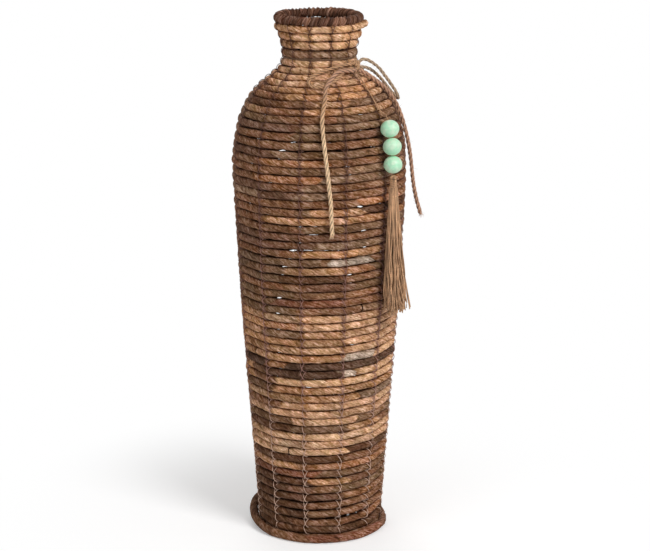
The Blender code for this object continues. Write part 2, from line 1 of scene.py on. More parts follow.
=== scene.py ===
"""Looks of the banana leaf vase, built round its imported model.

Twisted leaf rope is wound on a wire frame and stitched to it, a twine bow is tied round the neck,
and three beads and a tassel hang from the bow. Lengths are in metres. A bearing is in degrees
round the upright axis: 0 faces -Y, the front, and it grows to the right of someone facing the
front. A turn is one time round the wall's winding, counted from the foot.
"""

import enum
import functools
import logging
import math
from collections.abc import Sequence
from dataclasses import dataclass, field

import bmesh
import bpy
import numpy as np
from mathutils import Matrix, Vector


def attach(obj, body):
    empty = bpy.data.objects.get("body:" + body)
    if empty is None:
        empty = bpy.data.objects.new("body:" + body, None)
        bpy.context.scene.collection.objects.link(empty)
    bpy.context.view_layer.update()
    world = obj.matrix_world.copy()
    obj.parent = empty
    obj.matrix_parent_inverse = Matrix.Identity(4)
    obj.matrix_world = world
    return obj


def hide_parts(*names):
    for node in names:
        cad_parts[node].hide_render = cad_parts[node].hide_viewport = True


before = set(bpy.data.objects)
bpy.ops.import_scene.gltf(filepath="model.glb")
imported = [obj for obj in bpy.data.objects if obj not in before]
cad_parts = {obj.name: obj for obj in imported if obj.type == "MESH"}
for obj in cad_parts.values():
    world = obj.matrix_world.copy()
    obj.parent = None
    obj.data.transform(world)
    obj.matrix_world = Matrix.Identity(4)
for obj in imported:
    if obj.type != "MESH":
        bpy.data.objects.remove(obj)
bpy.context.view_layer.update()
LOG = logging.getLogger("vase")
Array = np.ndarray
Triple = tuple[float, float, float]
Range = tuple[float, float, float, float]
Grain = tuple[float, float, float]
Socket = bpy.types.NodeSocket
Tree = bpy.types.NodeTree
Mesh = bpy.types.Mesh
Material = bpy.types.Material
Object = bpy.types.Object

FULL_SCALE = 255.0
SRGB_OFFSET = 0.055
SRGB_GAMMA = 2.4
CURVE_STEPS = 12


class Shade(enum.Enum):
    """Colours of leaf, thread, twine and bead, as red, green and blue out of 255."""

    RIM = (97, 63, 45)
    RIM_PALE = (150, 106, 81)
    LIGHT = (206, 159, 115)
    PALE_TAN = (194, 148, 108)
    TAN = (181, 132, 89)
    ORANGE = (167, 114, 73)
    RUST = (130, 81, 54)
    BROWN = (138, 95, 63)
    MOTTLED = (134, 99, 70)
    GREY = (146, 111, 82)
    PALE_GREY = (186, 164, 144)
    PURPLE = (122, 85, 61)
    OLIVE = (130, 95, 64)
    DARK = (103, 69, 44)
    DARKEST = (96, 68, 49)
    THREAD_HIGH = (96, 62, 48)
    THREAD = (160, 118, 106)
    THREAD_LOW = (206, 172, 152)
    JUTE = (182, 140, 104)
    ROSE_JUTE = (176, 134, 108)
    PALE_JUTE = (222, 188, 150)
    GREY_JUTE = (172, 146, 120)
    # Jute darkened as painted shade, for the tie that lies in the dark groove between two rows.
    PAINTED_SHADE_JUTE = (124, 94, 70)
    YARN = (192, 150, 114)
    FIBRE = (128, 106, 88)
    MINT = (172, 224, 188)
    PALE_MINT = (206, 228, 200)
    IRON = (58, 54, 50)

    @property
    def linear(self) -> Triple:
        """Red, green and blue from 0 to 1, in linear light."""
        shares = (channel / FULL_SCALE for channel in self.value)
        return tuple(((share + SRGB_OFFSET) / (1.0 + SRGB_OFFSET)) ** SRGB_GAMMA for share in shares)

    @property
    def opaque(self) -> Range:
        """The linear colour with full cover."""
        return (*self.linear, 1.0)


def place(bearing: float, radius: float, height: float) -> Vector:
    """Point at a bearing in degrees, a distance from the axis and a height."""
    angle = math.radians(bearing)
    return Vector((radius * math.sin(angle), -radius * math.cos(angle), height))


def places(bearing: Array, radius: Array, height: Array) -> Array:
    """Points at rows of bearings, distances from the axis and heights, one row of numbers for each."""
    angle = np.radians(bearing)
    return np.column_stack([radius * np.sin(angle), -radius * np.cos(angle), height])


def ease(share: Array) -> Array:
    """The same share, which leaves 0 and reaches 1 gently."""
    return share * share * (3.0 - 2.0 * share)


def wander(along: Array, spacing: float, seed: int) -> Array:
    """Smooth random values along a line.

    Args:
        along: Distances along the line.
        spacing: Distance over which the values change.
        seed: Start of the random numbers.

    Returns:
        A value from -1 to 1 for each distance.
    """
    steps = (along - along.min()) / spacing
    knots = np.random.default_rng(seed).uniform(-1.0, 1.0, int(steps.max()) + 3)
    below = np.floor(steps).astype(int)
    eased = ease(steps - below)
    return knots[below] * (1.0 - eased) + knots[below + 1] * eased


def ripple(along: Array, waves: Sequence[tuple[float, int, float]]) -> Array:
    """Sum of smooth random values along a line, each with its spacing, seed and depth."""
    return sum(wander(along, spacing, seed) * depth for spacing, seed, depth in waves)


def walked(points: Array) -> Array:
    """Distance walked along points, from the first to each."""
    return np.concatenate([[0.0], np.cumsum(np.linalg.norm(np.diff(points, axis=0), axis=1))])


def evenly(points: Array, spacing: float) -> Array:
    """The same line with evenly spaced points.

    Args:
        points: One row for each point.
        spacing: Distance from point to point, about.

    Returns:
        Points at equal distances along the line.
    """
    distance = walked(points)
    wanted = np.linspace(0.0, distance[-1], max(4, round(distance[-1] / spacing)) + 1)
    return np.column_stack([np.interp(wanted, distance, points[:, axis]) for axis in range(3)])


def smooth_line(stops: Sequence[Vector | Array], spacing: float) -> Array:
    """Points on one smooth curve through stops.

    Args:
        stops: Points that the curve goes through.
        spacing: Distance from point to point of the result.

    Returns:
        Evenly spaced points.
    """
    knots = [Vector(stop) for stop in stops]
    padded = [2 * knots[0] - knots[1], *knots, 2 * knots[-1] - knots[-2]]
    fine = []
    for before, here, there, after in zip(padded, padded[1:], padded[2:], padded[3:]):
        bend = 2 * before - 5 * here + 4 * there - after
        twist = 3 * here - before - 3 * there + after
        for share in np.linspace(0.0, 1.0, CURVE_STEPS, endpoint=False):
            fine.append((2 * here + (there - before) * share + bend * share**2 + twist * share**3) / 2)
    return evenly(np.array([*fine, knots[-1]]), spacing)


def routed(route: Sequence[Triple], spacing: float) -> Array:
    """Points on a smooth curve through stops, which are bearings, radii and heights."""
    return smooth_line([place(*stop) for stop in route], spacing)


class Nodes:
    """Short calls that fill one node tree."""

    def __init__(self, tree: Tree) -> None:
        """Keep the tree to fill."""
        self.tree = tree

    def add(self, kind: str, inputs: dict | None = None, **settings: object) -> bpy.types.Node:
        """Add a node.

        Args:
            kind: The node's type name.
            inputs: Sockets to link from, or values to set, by input name or number.
            settings: Properties of the node itself.

        Returns:
            The new node.
        """
        node = self.tree.nodes.new(kind)
        for name, value in settings.items():
            setattr(node, name, value)
        for name, value in (inputs or {}).items():
            socket = node.inputs[name]
            if isinstance(value, Socket):
                self.tree.links.new(value, socket)
            else:
                socket.default_value = value
        return node

    def math(self, operation: str, *values: object) -> Socket:
        """Function of sockets or numbers."""
        return self.add("ShaderNodeMath", dict(enumerate(values)), operation=operation).outputs[0]

    def plus(self, *values: object) -> Socket:
        """Sum of sockets or numbers."""
        return functools.reduce(lambda total, value: self.math("ADD", total, value), values)

    def times(self, *values: object) -> Socket:
        """Product of sockets or numbers."""
        return functools.reduce(lambda total, value: self.math("MULTIPLY", total, value), values)

    def ramp(self, value: object, low: float, high: float, to_low: float, to_high: float) -> Socket:
        """Map a range of values to another, and hold its ends."""
        limits = {"Value": value, "From Min": low, "From Max": high, "To Min": to_low, "To Max": to_high}
        return self.add("ShaderNodeMapRange", limits).outputs[0]

    def noise(self, where: Socket | None, scale: float, detail: float) -> Socket:
        """Noise at a place, or at the surface's own place."""
        given = {"Scale": scale, "Detail": detail} | ({} if where is None else {"Vector": where})
        return self.add("ShaderNodeTexNoise", given).outputs[0]


class Shape(Nodes):
    """Geometry Nodes tree with named inputs, which sweeps a line into a solid."""

    def __init__(self, name: str, sizes: dict[str, float | int]) -> None:
        """Start the tree.

        Args:
            name: The tree's name.
            sizes: Its inputs and their usual values.
        """
        super().__init__(bpy.data.node_groups.new(name, "GeometryNodeTree"))
        sockets = self.tree.interface
        sockets.new_socket("Line", in_out="INPUT", socket_type="NodeSocketGeometry")
        sockets.new_socket("Solid", in_out="OUTPUT", socket_type="NodeSocketGeometry")
        for label, value in sizes.items():
            kind = "NodeSocketInt" if isinstance(value, int) else "NodeSocketFloat"
            sockets.new_socket(label, in_out="INPUT", socket_type=kind).default_value = value
        sockets.new_socket("Material", in_out="INPUT", socket_type="NodeSocketMaterial")
        self.inputs = self.tree.nodes.new("NodeGroupInput").outputs

    def named(self, name: str) -> Socket:
        """Number that each point of the line carries under a name."""
        read = self.add("GeometryNodeInputNamedAttribute", {"Name": name}, data_type="FLOAT")
        return read.outputs["Attribute"]

    def store(self, mesh: Socket, name: str, value: Socket, kind: str = "FLOAT") -> Socket:
        """The mesh, with a value kept at each point of it under a name."""
        kept = {"Geometry": mesh, "Name": name, "Value": value}
        return self.add("GeometryNodeStoreNamedAttribute", kept, data_type=kind).outputs[0]

    def sweep(self, lay: Socket | None = None) -> tuple[Socket, Socket, Socket, Socket]:
        """Sweep a circle along the line, as thick at each point as its size says.

        Args:
            lay: Length over which the strand winds round once, if it does.

        Returns:
            The mesh, each point's place in the unwound strand, which the mesh keeps too, the share of the way
            round the circle, and that share in the unwound strand.
        """
        line = self.add("GeometryNodeMeshToCurve", {0: self.inputs["Line"]}).outputs[0]
        upright = self.add("GeometryNodeSetCurveNormal", {"Curve": line}, mode="Z_UP").outputs[0]
        size = {"Resolution": self.inputs["Sides"], "Radius": self.inputs["Radius"]}
        keep = self.add("GeometryNodeCaptureAttribute")
        keep.capture_items.new("FLOAT", "around")
        self.tree.links.new(self.add("GeometryNodeCurvePrimitiveCircle", size).outputs[0], keep.inputs[0])
        self.tree.links.new(self.add("GeometryNodeSplineParameter").outputs["Factor"], keep.inputs["around"])
        mesh = self.add("GeometryNodeCurveToMesh", {
            "Curve": upright, "Profile Curve": keep.outputs[0], "Scale": self.named("size"),
            "Fill Caps": True,
        }).outputs[0]
        along, around = self.named("along"), keep.outputs["around"]
        turned = around if lay is None else self.plus(self.math("DIVIDE", along, lay), around)
        angle = self.times(turned, 2 * math.pi)
        across, up = (self.times(self.math(way, angle), size["Radius"]) for way in ("COSINE", "SINE"))
        strand = self.add("ShaderNodeCombineXYZ", {0: along, 1: across, 2: up}).outputs[0]
        return self.store(mesh, "strand", strand, "FLOAT_VECTOR"), strand, around, turned

    def end(self, mesh: Socket, pushed: Socket | None = None) -> Tree:
        """Push the surface outwards, and close the tree with real instances and its material.

        Args:
            mesh: The swept mesh.
            pushed: How far out each point moves, if it does.

        Returns:
            The tree.
        """
        if pushed is not None:
            way = {0: self.add("GeometryNodeInputNormal").outputs[0], "Scale": pushed}
            offset = self.add("ShaderNodeVectorMath", way, operation="SCALE").outputs[0]
            mesh = self.add("GeometryNodeSetPosition", {"Geometry": mesh, "Offset": offset}).outputs[0]
        mesh = self.add("GeometryNodeSetShadeSmooth", {0: mesh}).outputs[0]
        mesh = self.add("GeometryNodeRealizeInstances", {0: mesh}).outputs[0]
        dressed = self.add("GeometryNodeSetMaterial", {"Geometry": mesh, "Material": self.inputs["Material"]})
        self.add("NodeGroupOutput", {0: dressed.outputs[0]})
        return self.tree


EDGE_RISE = 0.82
LUMPS = ((0.6, 1.0, 1.0), 130.0, 1.5)
CREASES = ((0.24, 1.0, 1.0), 300.0, 1.0)
CREASE_RANGE = (0.52, 0.75, 0.0, -1.0)


def rope_shape() -> Tree:
    """Tree of twisted leaf: leaf edges that wind round it, lumps, creases and a pinch at each stitch.

    Returns:
        The tree.
    """
    shape = Shape("twisted leaf", {
        "Radius": 0.0044, "Sides": 20, "Lay Length": -0.056, "Leaf Edges": 1.0, "Edge Depth": 0.0004,
        "Lump Depth": 0.0007, "Crease Depth": 0.0007, "Pinch Depth": 0.0002, "Seed": 1.0,
    })
    sizes = shape.inputs
    mesh, strand, around, turned = shape.sweep(sizes["Lay Length"])
    saw = shape.math("FRACT", shape.times(turned, sizes["Leaf Edges"]))
    fall = shape.math("DIVIDE", shape.math("SUBTRACT", 1.0, saw), 1.0 - EDGE_RISE)
    edge = shape.math("MINIMUM", shape.math("DIVIDE", saw, EDGE_RISE), fall)
    shift = shape.add("ShaderNodeCombineXYZ", {0: sizes["Seed"]}).outputs[0]
    where = shape.add("ShaderNodeVectorMath", {0: strand, 1: shift}, operation="ADD").outputs[0]
    lump, crease = (
        shape.noise(
            shape.add("ShaderNodeVectorMath", {0: where, 1: stretch}, operation="MULTIPLY").outputs[0],
            scale, detail,
        )
        for stretch, scale, detail in (LUMPS, CREASES)
    )
    return shape.end(shape.store(mesh, "around", around), shape.plus(
        shape.times(shape.math("SUBTRACT", edge, 0.5), sizes["Edge Depth"]),
        shape.times(shape.math("SUBTRACT", lump, 0.5), sizes["Lump Depth"], 2.0),
        shape.times(shape.ramp(crease, *CREASE_RANGE), sizes["Crease Depth"]),
        shape.times(shape.named("pinch"), sizes["Pinch Depth"], -1.0),
    ))


TWINE_STRANDS = 3.0
LOBE_POWER = 0.8
FRAY_SCALE = 900.0


def twine_shape() -> Tree:
    """Tree of laid twine: three strands that wind round each other.

    Returns:
        The tree.
    """
    shape = Shape("laid twine", {
        "Radius": 0.0020, "Sides": 18, "Lay Length": -0.019, "Groove Share": 0.46, "Fray Depth": 0.00025,
    })
    sizes = shape.inputs
    mesh, _, _, turned = shape.sweep(sizes["Lay Length"])
    lobe = shape.math("ABSOLUTE", shape.math("COSINE", shape.times(turned, 2 * math.pi, TWINE_STRANDS / 2)))
    swell = shape.math("SUBTRACT", shape.math("POWER", lobe, LOBE_POWER), 1.0)
    rough = shape.math("SUBTRACT", shape.noise(None, FRAY_SCALE, 1.0), 0.5)
    # The strands' places, for the material's painted shade in the grooves between them.
    mesh = shape.store(mesh, "ply", shape.times(turned, TWINE_STRANDS))
    return shape.end(mesh, shape.plus(
        shape.times(swell, shape.times(sizes["Radius"], sizes["Groove Share"])),
        shape.times(rough, sizes["Fray Depth"]),
    ))


def thread_shape() -> Tree:
    """Tree of thin plain thread, fibre and yarn."""
    shape = Shape("thread", {"Radius": 0.0003, "Sides": 5})
    return shape.end(shape.sweep()[0])


@dataclass
class Line:
    """A line for one swept body: its points and what each point carries."""

    points: Array
    size: Array | None = None
    pinch: Array | None = None
    along: Array | None = None
    closed: bool = False


def line_mesh(lines: Sequence[Line]) -> Mesh:
    """Mesh of edges that a shape tree sweeps, one chain for each line.

    Args:
        lines: The lines.

    Returns:
        Mesh with the points' sizes, pinches and distances as attributes.
    """
    edges, rows, start = [], {"size": [], "pinch": [], "along": []}, 0
    for line in lines:
        count = len(line.points)
        chain = np.arange(start, start + count)
        edges.append(np.column_stack([chain[:-1], chain[1:]]))
        if line.closed:
            edges.append(chain[[-1, 0]][None])
        rows["size"].append(np.ones(count) if line.size is None else line.size)
        rows["pinch"].append(np.zeros(count) if line.pinch is None else line.pinch)
        rows["along"].append(walked(line.points) if line.along is None else line.along)
        start += count
    mesh = bpy.data.meshes.new("line")
    mesh.from_pydata(np.vstack([line.points for line in lines]).tolist(), np.vstack(edges).tolist(), [])
    for name, values in rows.items():
        kept = mesh.attributes.new(name, "FLOAT", "POINT").data
        kept.foreach_set("value", np.concatenate(values).astype(np.float32))
    return mesh


def turn_out(mesh: Mesh) -> None:
    """Turn a closed mesh's faces outwards.

    Args:
        mesh: The mesh.
    """
    solid = bmesh.new()
    solid.from_mesh(mesh)
    if solid.calc_volume(signed=True) < 0.0:
        mesh.flip_normals()
    solid.free()


def show(name: str, data: bpy.types.ID) -> Object:
    """Put a new object into the scene.

    Args:
        name: The object's name.
        data: Its mesh, camera or lamp.

    Returns:
        The object.
    """
    made = bpy.data.objects.new(name, data)
    bpy.context.scene.collection.objects.link(made)
    return made


def sweep(name: str, lines: Sequence[Line], shape: Tree, material: Material, **sizes: float | int) -> Object:
    """Sweep lines by a shape tree into one plain mesh object.

    Args:
        name: The object's name.
        lines: Lines to sweep.
        shape: Shape tree.
        material: Material of the result.
        sizes: Inputs of the tree, their names with underscores for blanks.

    Returns:
        The object, with no modifier left on it.
    """
    piece = show(name, line_mesh(lines))
    modifier = piece.modifiers.new("shape", "NODES")
    modifier.node_group = shape
    wanted = {label.replace("_", " ").title(): value for label, value in sizes.items()}
    wanted["Material"] = material
    for item in shape.interface.items_tree:
        if item.item_type == "SOCKET" and item.in_out == "INPUT" and item.name in wanted:
            modifier[item.identifier] = wanted[item.name]
    graph = bpy.context.evaluated_depsgraph_get()
    mesh = bpy.data.meshes.new_from_object(
        piece.evaluated_get(graph), preserve_all_data_layers=True, depsgraph=graph,
    )
    piece.modifiers.clear()
    guide, piece.data = piece.data, mesh
    bpy.data.meshes.remove(guide)
    turn_out(mesh)
    return piece


def dress(piece: Object, body: str, node: str = "") -> Object:
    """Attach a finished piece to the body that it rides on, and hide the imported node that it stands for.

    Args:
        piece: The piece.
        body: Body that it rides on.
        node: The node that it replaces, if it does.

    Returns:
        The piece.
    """
    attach(piece, body)
    if node:
        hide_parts(node)
    return piece


class Surface(Nodes):
    """A material's nodes, which feed its one shader."""

    def __init__(self, name: str) -> None:
        """Start the material."""
        self.material = bpy.data.materials.new(name)
        self.material.use_nodes = True
        super().__init__(self.material.node_tree)
        self.shader = self.tree.nodes["Principled BSDF"].inputs

    def attribute(self, name: str, output: str) -> Socket:
        """What the piece keeps under a name."""
        return self.add("ShaderNodeAttribute", attribute_name=name).outputs[output]

    def grain(self, where: Socket, stretch: Triple, scale: float, detail: float) -> Socket:
        """Noise that is stretched along an axis."""
        return self.noise(
            self.add("ShaderNodeMapping", {"Vector": where, "Scale": stretch}).outputs[0], scale, detail)

    def swing(self, noise: Socket, middle: float, half: float) -> Socket:
        """Number that swings round a middle as the noise does."""
        return self.ramp(noise, 0.3, 0.7, middle - half, middle + half)

    def end(self, colour: object, light: Socket, height: Socket, bump: float, depth: float,
            **tone: Socket) -> Material:
        """Close the material.

        Args:
            colour: Its colour, before light and dark.
            light: How light it is at each point.
            height: Its fine relief.
            bump: How strongly the relief shows.
            depth: Height of the relief.
            tone: Its hue and saturation, where they vary.

        Returns:
            The material.
        """
        shown = self.add("ShaderNodeHueSaturation", {"Color": colour, "Value": light} | tone)
        relief = self.add("ShaderNodeBump", {"Height": height, "Strength": bump, "Distance": depth})
        self.tree.links.new(shown.outputs[0], self.shader["Base Color"])
        self.tree.links.new(relief.outputs[0], self.shader["Normal"])
        return self.material


@dataclass(frozen=True)
class LeafFinish:
    """Dried banana leaf: long fibres along the twist, blotches, dark specks and dull wrinkles, with a painted
    highlight on the wrinkles' crests and painted shade in their creases.

    A grain is its stretch along the strand, its scale and its detail. A range is two values of what it
    reads, and the results that they give.
    """

    name: str = "dried banana leaf"
    fibre: Grain = (0.08, 950.0, 3.0)
    blotch: Grain = (0.55, 120.0, 4.0)
    tint: Grain = (0.4, 204.0, 2.0)
    speck: Grain = (0.5, 800.0, 2.0)
    wrinkle: Grain = (0.15, 430.0, 3.0)
    wrinkled: Grain = (1.0, 70.0, 1.0)
    mottle: Grain = (0.42, 600.0, 2.0)
    wrinkled_range: Range = (0.40, 0.60, 0.25, 1.0)
    # Painted highlight on the wrinkles' crests, and painted shade in their creases.
    crest_highlight: Range = (0.55, 0.68, 0.0, 0.52)
    crease: Range = (0.46, 0.34, 0.0, -0.52)
    fibre_light: Range = (0.30, 0.70, 0.72, 1.28)
    blotch_light: Range = (0.34, 0.66, 0.72, 1.24)
    mottle_light: Range = (0.36, 0.64, 0.54, 1.46)
    speck_light: Range = (0.58, 0.68, 1.0, 0.50)
    calm: Range = (0.40, 0.70, 1.0, 0.62)
    hue: Range = (0.35, 0.65, 0.492, 0.504)
    light_saturation: Range = (0.4, 1.7, 1.14, 0.72)
    blotch_saturation: Range = (0.35, 0.66, 0.93, 1.03)
    roughness: float = 0.78
    roughness_swing: float = 0.1
    sheen: float = 0.10
    fine_share: float = 0.4
    fold_share: float = 1.2
    bump: float = 0.9
    depth: float = 0.0009

    def build(self) -> Material:
        """Make the material, whose colour starts from the piece's own shade attribute.

        Returns:
            The material.
        """
        nodes = Surface(self.name)
        strand, shade = nodes.attribute("strand", "Vector"), nodes.attribute("shade", "Color")
        fibre, blotch, tint, speck, wrinkle, wrinkled, mottle = (
            nodes.grain(strand, (stretch, 1.0, 1.0), scale, detail)
            for stretch, scale, detail in (
                self.fibre, self.blotch, self.tint, self.speck, self.wrinkle, self.wrinkled, self.mottle,
            )
        )
        wrinkled = nodes.ramp(wrinkled, *self.wrinkled_range)
        # Painted highlight on wrinkle crests and painted shade in wrinkle creases, where the bump folds too.
        crest_highlight, crease = (
            nodes.times(nodes.ramp(wrinkle, *reach), wrinkled) for reach in (self.crest_highlight, self.crease)
        )
        light = nodes.times(
            nodes.ramp(fibre, *self.fibre_light), nodes.ramp(blotch, *self.blotch_light),
            nodes.ramp(mottle, *self.mottle_light), nodes.ramp(speck, *self.speck_light),
            nodes.plus(crest_highlight, crease, 1.0),
        )
        red = nodes.add("ShaderNodeSeparateColor", {"Color": shade}).outputs["Red"]
        light = nodes.plus(nodes.times(nodes.plus(light, -1.0), nodes.ramp(red, *self.calm)), 1.0)
        saturation = nodes.times(
            nodes.ramp(light, *self.light_saturation), nodes.ramp(blotch, *self.blotch_saturation),
        )
        roughness = nodes.swing(fibre, self.roughness, self.roughness_swing)
        nodes.tree.links.new(roughness, nodes.shader["Roughness"])
        nodes.shader["Specular IOR Level"].default_value = self.sheen
        folds = nodes.times(wrinkle, wrinkled, self.fold_share)
        height = nodes.plus(nodes.times(nodes.plus(fibre, mottle), self.fine_share), folds)
        return nodes.end(
            shade, light, height, self.bump, self.depth, Hue=nodes.ramp(tint, *self.hue),
            Saturation=saturation,
        )


@dataclass(frozen=True)
class FibreFinish:
    """Twine, thread or yarn: fine fibres along it, painted shade in the grooves between its strands, and up
    to three colours by height.
    """

    name: str
    shade: Shade
    groove: bool = False
    contrast: float = 0.3
    patch: float = 0.14
    patch_scale: float = 140.0
    patch_stretch: Triple = (1.0, 1.0, 1.0)
    by_height: tuple[tuple[float, Shade], ...] = ()
    fibre_stretch: Triple = (0.12, 1.0, 1.0)
    fibre_scale: float = 3200.0
    groove_shade: Range = (0.05, 0.8, 0.24, 1.12)
    roughness: float = 0.88
    bump: float = 0.5
    depth: float = 0.0003

    def build(self) -> Material:
        """Make the material.

        Returns:
            The material.
        """
        nodes = Surface(self.name)
        where = nodes.add("ShaderNodeTexCoord").outputs["Object"]
        fibre = nodes.grain(nodes.attribute("strand", "Vector"), self.fibre_stretch, self.fibre_scale, 3.0)
        patch = nodes.grain(where, self.patch_stretch, self.patch_scale, 2.0)
        light = nodes.times(nodes.swing(fibre, 1.0, self.contrast), nodes.swing(patch, 1.0, self.patch))
        # Painted shade: darker in the grooves between the twisted strands.
        if self.groove:
            ply = nodes.times(nodes.attribute("ply", "Fac"), math.pi)
            lobe = nodes.math("ABSOLUTE", nodes.math("COSINE", ply))
            light = nodes.times(light, nodes.ramp(lobe, *self.groove_shade))
        nodes.shader["Roughness"].default_value = self.roughness
        return nodes.end(self.base(nodes, where), light, fibre, self.bump, self.depth)

    def base(self, nodes: Nodes, where: Socket) -> Socket | Range:
        """Colour before its fibres: one shade, or shades that follow the height.

        Args:
            nodes: The material's nodes.
            where: Place on the piece.

        Returns:
            The colour's socket, or the colour.
        """
        if not self.by_height:
            return self.shade.opaque
        height = nodes.add("ShaderNodeSeparateXYZ", {0: where}).outputs["Z"]
        ramp = nodes.add("ShaderNodeValToRGB", {"Fac": height})
        stops = ramp.color_ramp.elements
        while len(stops) < len(self.by_height):
            stops.new(1.0)
        for stop, (level, shade) in zip(stops, self.by_height):
            stop.position, stop.color = level, shade.opaque
        return ramp.outputs["Color"]


@dataclass(frozen=True)
class PaintFinish:
    """A bead's satin paint, or a wire's worn dark iron: one colour with faint wear."""

    name: str
    shade: Shade
    worn: Shade
    roughness: float
    metallic: float
    wear: float
    scale: float
    rubbed_share: float = 0.4
    rubbed: Range = (0.42, 0.62, 0.0, 0.75)
    roughness_swing: float = -0.08
    bump: float = 0.15
    depth: float = 0.0003

    def build(self) -> Material:
        """Make the material.

        Returns:
            The material.
        """
        nodes = Surface(self.name)
        where = nodes.add("ShaderNodeTexCoord").outputs["Object"]
        noise = nodes.noise(where, self.scale, 4.0)
        rubbed = nodes.ramp(nodes.noise(where, self.scale * self.rubbed_share, 2.0), *self.rubbed)
        mixed = {"Factor": rubbed, "A": self.shade.opaque, "B": self.worn.opaque}
        colour = nodes.add("ShaderNodeMix", mixed, data_type="RGBA").outputs[2]
        roughness = nodes.swing(noise, self.roughness, self.roughness_swing)
        nodes.tree.links.new(roughness, nodes.shader["Roughness"])
        nodes.shader["Metallic"].default_value = self.metallic
        return nodes.end(colour, nodes.swing(noise, 1.0, self.wear), noise, self.bump, self.depth)


@dataclass
class Wall:
    """The wall: one winding of leaf rope in spliced lengths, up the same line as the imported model.

    The moves are rows and how many millimetres they lie further up the wall. The girths are turns and
    shares of the rope's thickness. Each group of flecks, where light shows between two rows, is how far the
    rows part, how wide, how far both are moved up, and its bearings and heights. A bulge is its bearing,
    height and depth, and how wide and tall it is. A length is its node, the share of all turns at which it
    ends, and its slot. A wave is its spacing, seed and depth.
    """

    height: float = 0.600
    belly: tuple[float, float] = (0.0983, 0.430)
    neck: tuple[float, float] = (0.0430, 0.553)
    mouth_radius: float = 0.0500
    foot_radius: float = 0.0742
    body_shares: tuple = ((0.33, 0.33), (1.0, 0.69))
    shoulder_shares: tuple = ((0.0, 0.85), (1.0, 0.75))
    throat_shares: tuple = ((0.0, 0.40), (0.5, 0.75))
    outline_steps: int = 60
    rope_radius: float = 0.00465
    leaf_radius: float = 0.00443
    pitch: float = 0.00927
    half_share: float = 0.935
    back_share: float = 0.95
    standing_share: float = 0.80
    rim_radius: float = 0.0049
    rim_overhang: float = 0.0005
    seat_gap: float = 0.0003
    first_climb_share: float = 0.2
    climb_growth_share: float = 0.1
    end_bearing: float = 84.0
    end_out: float = 0.0066
    end_rise: float = 0.0030
    end_turn_share: float = 0.125
    ribs: int = 12
    first_rib: float = 17.5
    point_spacing: float = 0.0016
    rib_bow_share: float = 0.017
    pinch_reach: float = 0.0024
    moves: tuple = (
        (0.0, -0.8), (0.8, -0.8), (1.6, 0.0), (4.0, 0.0), (10.0, -1.0), (17.5, -1.0), (21.0, 0.7),
        (25.0, 1.6), (28.0, 1.5), (33.0, 1.2), (36.5, 2.7), (41.5, 2.7), (44.5, 2.4), (47.5, 1.5),
        (50.5, 2.5), (53.5, 0.9), (57.0, 0.0), (58.0, -0.8), (59.0, -1.8), (60.0, -2.4), (61.0, -1.3),
        (62.0, -0.2), (63.0, 0.4),
    )
    girths: tuple = (
        (0.0, 1.10), (0.9, 1.10), (1.4, 1.0), (57.4, 1.0), (57.9, 0.95), (59.6, 0.95), (60.2, 1.0),
        (60.8, 1.08), (61.6, 1.08), (62.1, 1.0),
    )
    flecks: tuple = (
        (0.0005, 0.0040, 0.0, (
            (-55.0, 0.4135), (-35.5, 0.4231), (-26.2, 0.4596), (-17.5, 0.4693), (-45.2, 0.4947),
            (-18.8, 0.3495), (-26.5, 0.3299), (-32.2, 0.2741), (-31.2, 0.2925), (-14.2, 0.3591),
            (12.8, 0.4607), (31.8, 0.3695), (33.2, 0.3509), (29.5, 0.3973), (22.0, 0.3216), (32.8, 0.4964),
        )),
        (0.0007, 0.0055, 0.0004, (
            (240.0, 0.3930), (208.2, 0.4297), (198.5, 0.4384), (224.3, 0.4752), (209.8, 0.2898),
            (216.4, 0.2337), (166.3, 0.4278), (144.6, 0.3342), (155.2, 0.2793), (148.0, 0.4733),
        )),
        (0.0007, 0.0055, 0.0003, (
            (219.0, 0.3932), (201.0, 0.3080), (215.2, 0.2525), (196.0, 0.3171), (142.9, 0.3150),
            (147.3, 0.3629),
        )),
    )
    part_rows: float = 1.2
    bulges: tuple = (
        (-92.0, 0.438, 0.0025, 27.0, 0.046), (98.0, 0.396, 0.0016, 27.0, 0.046),
        (104.0, 0.460, 0.0026, 22.0, 0.040), (-92.0, 0.589, 0.0022, 34.0, 0.006),
        (92.0, 0.579, 0.0018, 30.0, 0.006),
    )
    lengths: tuple = (
        ("foot_wall_rope", 0.165, "dark_leaf"), ("lower_wall_rope", 0.320, "tan_leaf"),
        ("stripe_rope", 0.352, "darkest_leaf"), ("light_band_rope", 0.450, "light_leaf"),
        ("waist_rope", 0.530, "dark_leaf"), ("belly_rope", 0.690, "brown_leaf"),
        ("chest_rope", 0.815, "brown_leaf"), ("shoulder_rope", 0.880, "tan_leaf"),
        ("neck_rope", 0.945, "light_leaf"), ("collar_rope", 0.962, "dark_leaf"),
        ("mouth_rope", 1.0, "light_leaf"),
    )
    aside_waves: tuple = ((0.034, 11, 0.00026), (0.012, 12, 0.00014))
    out_waves: tuple = ((0.028, 13, 0.00045), (0.010, 14, 0.00022))
    size_waves: tuple = ((0.045, 15, 0.05), (0.016, 16, 0.05))
    calm_ends: tuple[float, float] = (0.5, 0.3)
    coarse_per_turn: int = 60
    last_row_gap: float = 0.02
    middle: Array = field(init=False)
    outward: Array = field(init=False)
    distance: Array = field(init=False)
    last_height: float = field(init=False)
    turns: float = field(init=False)

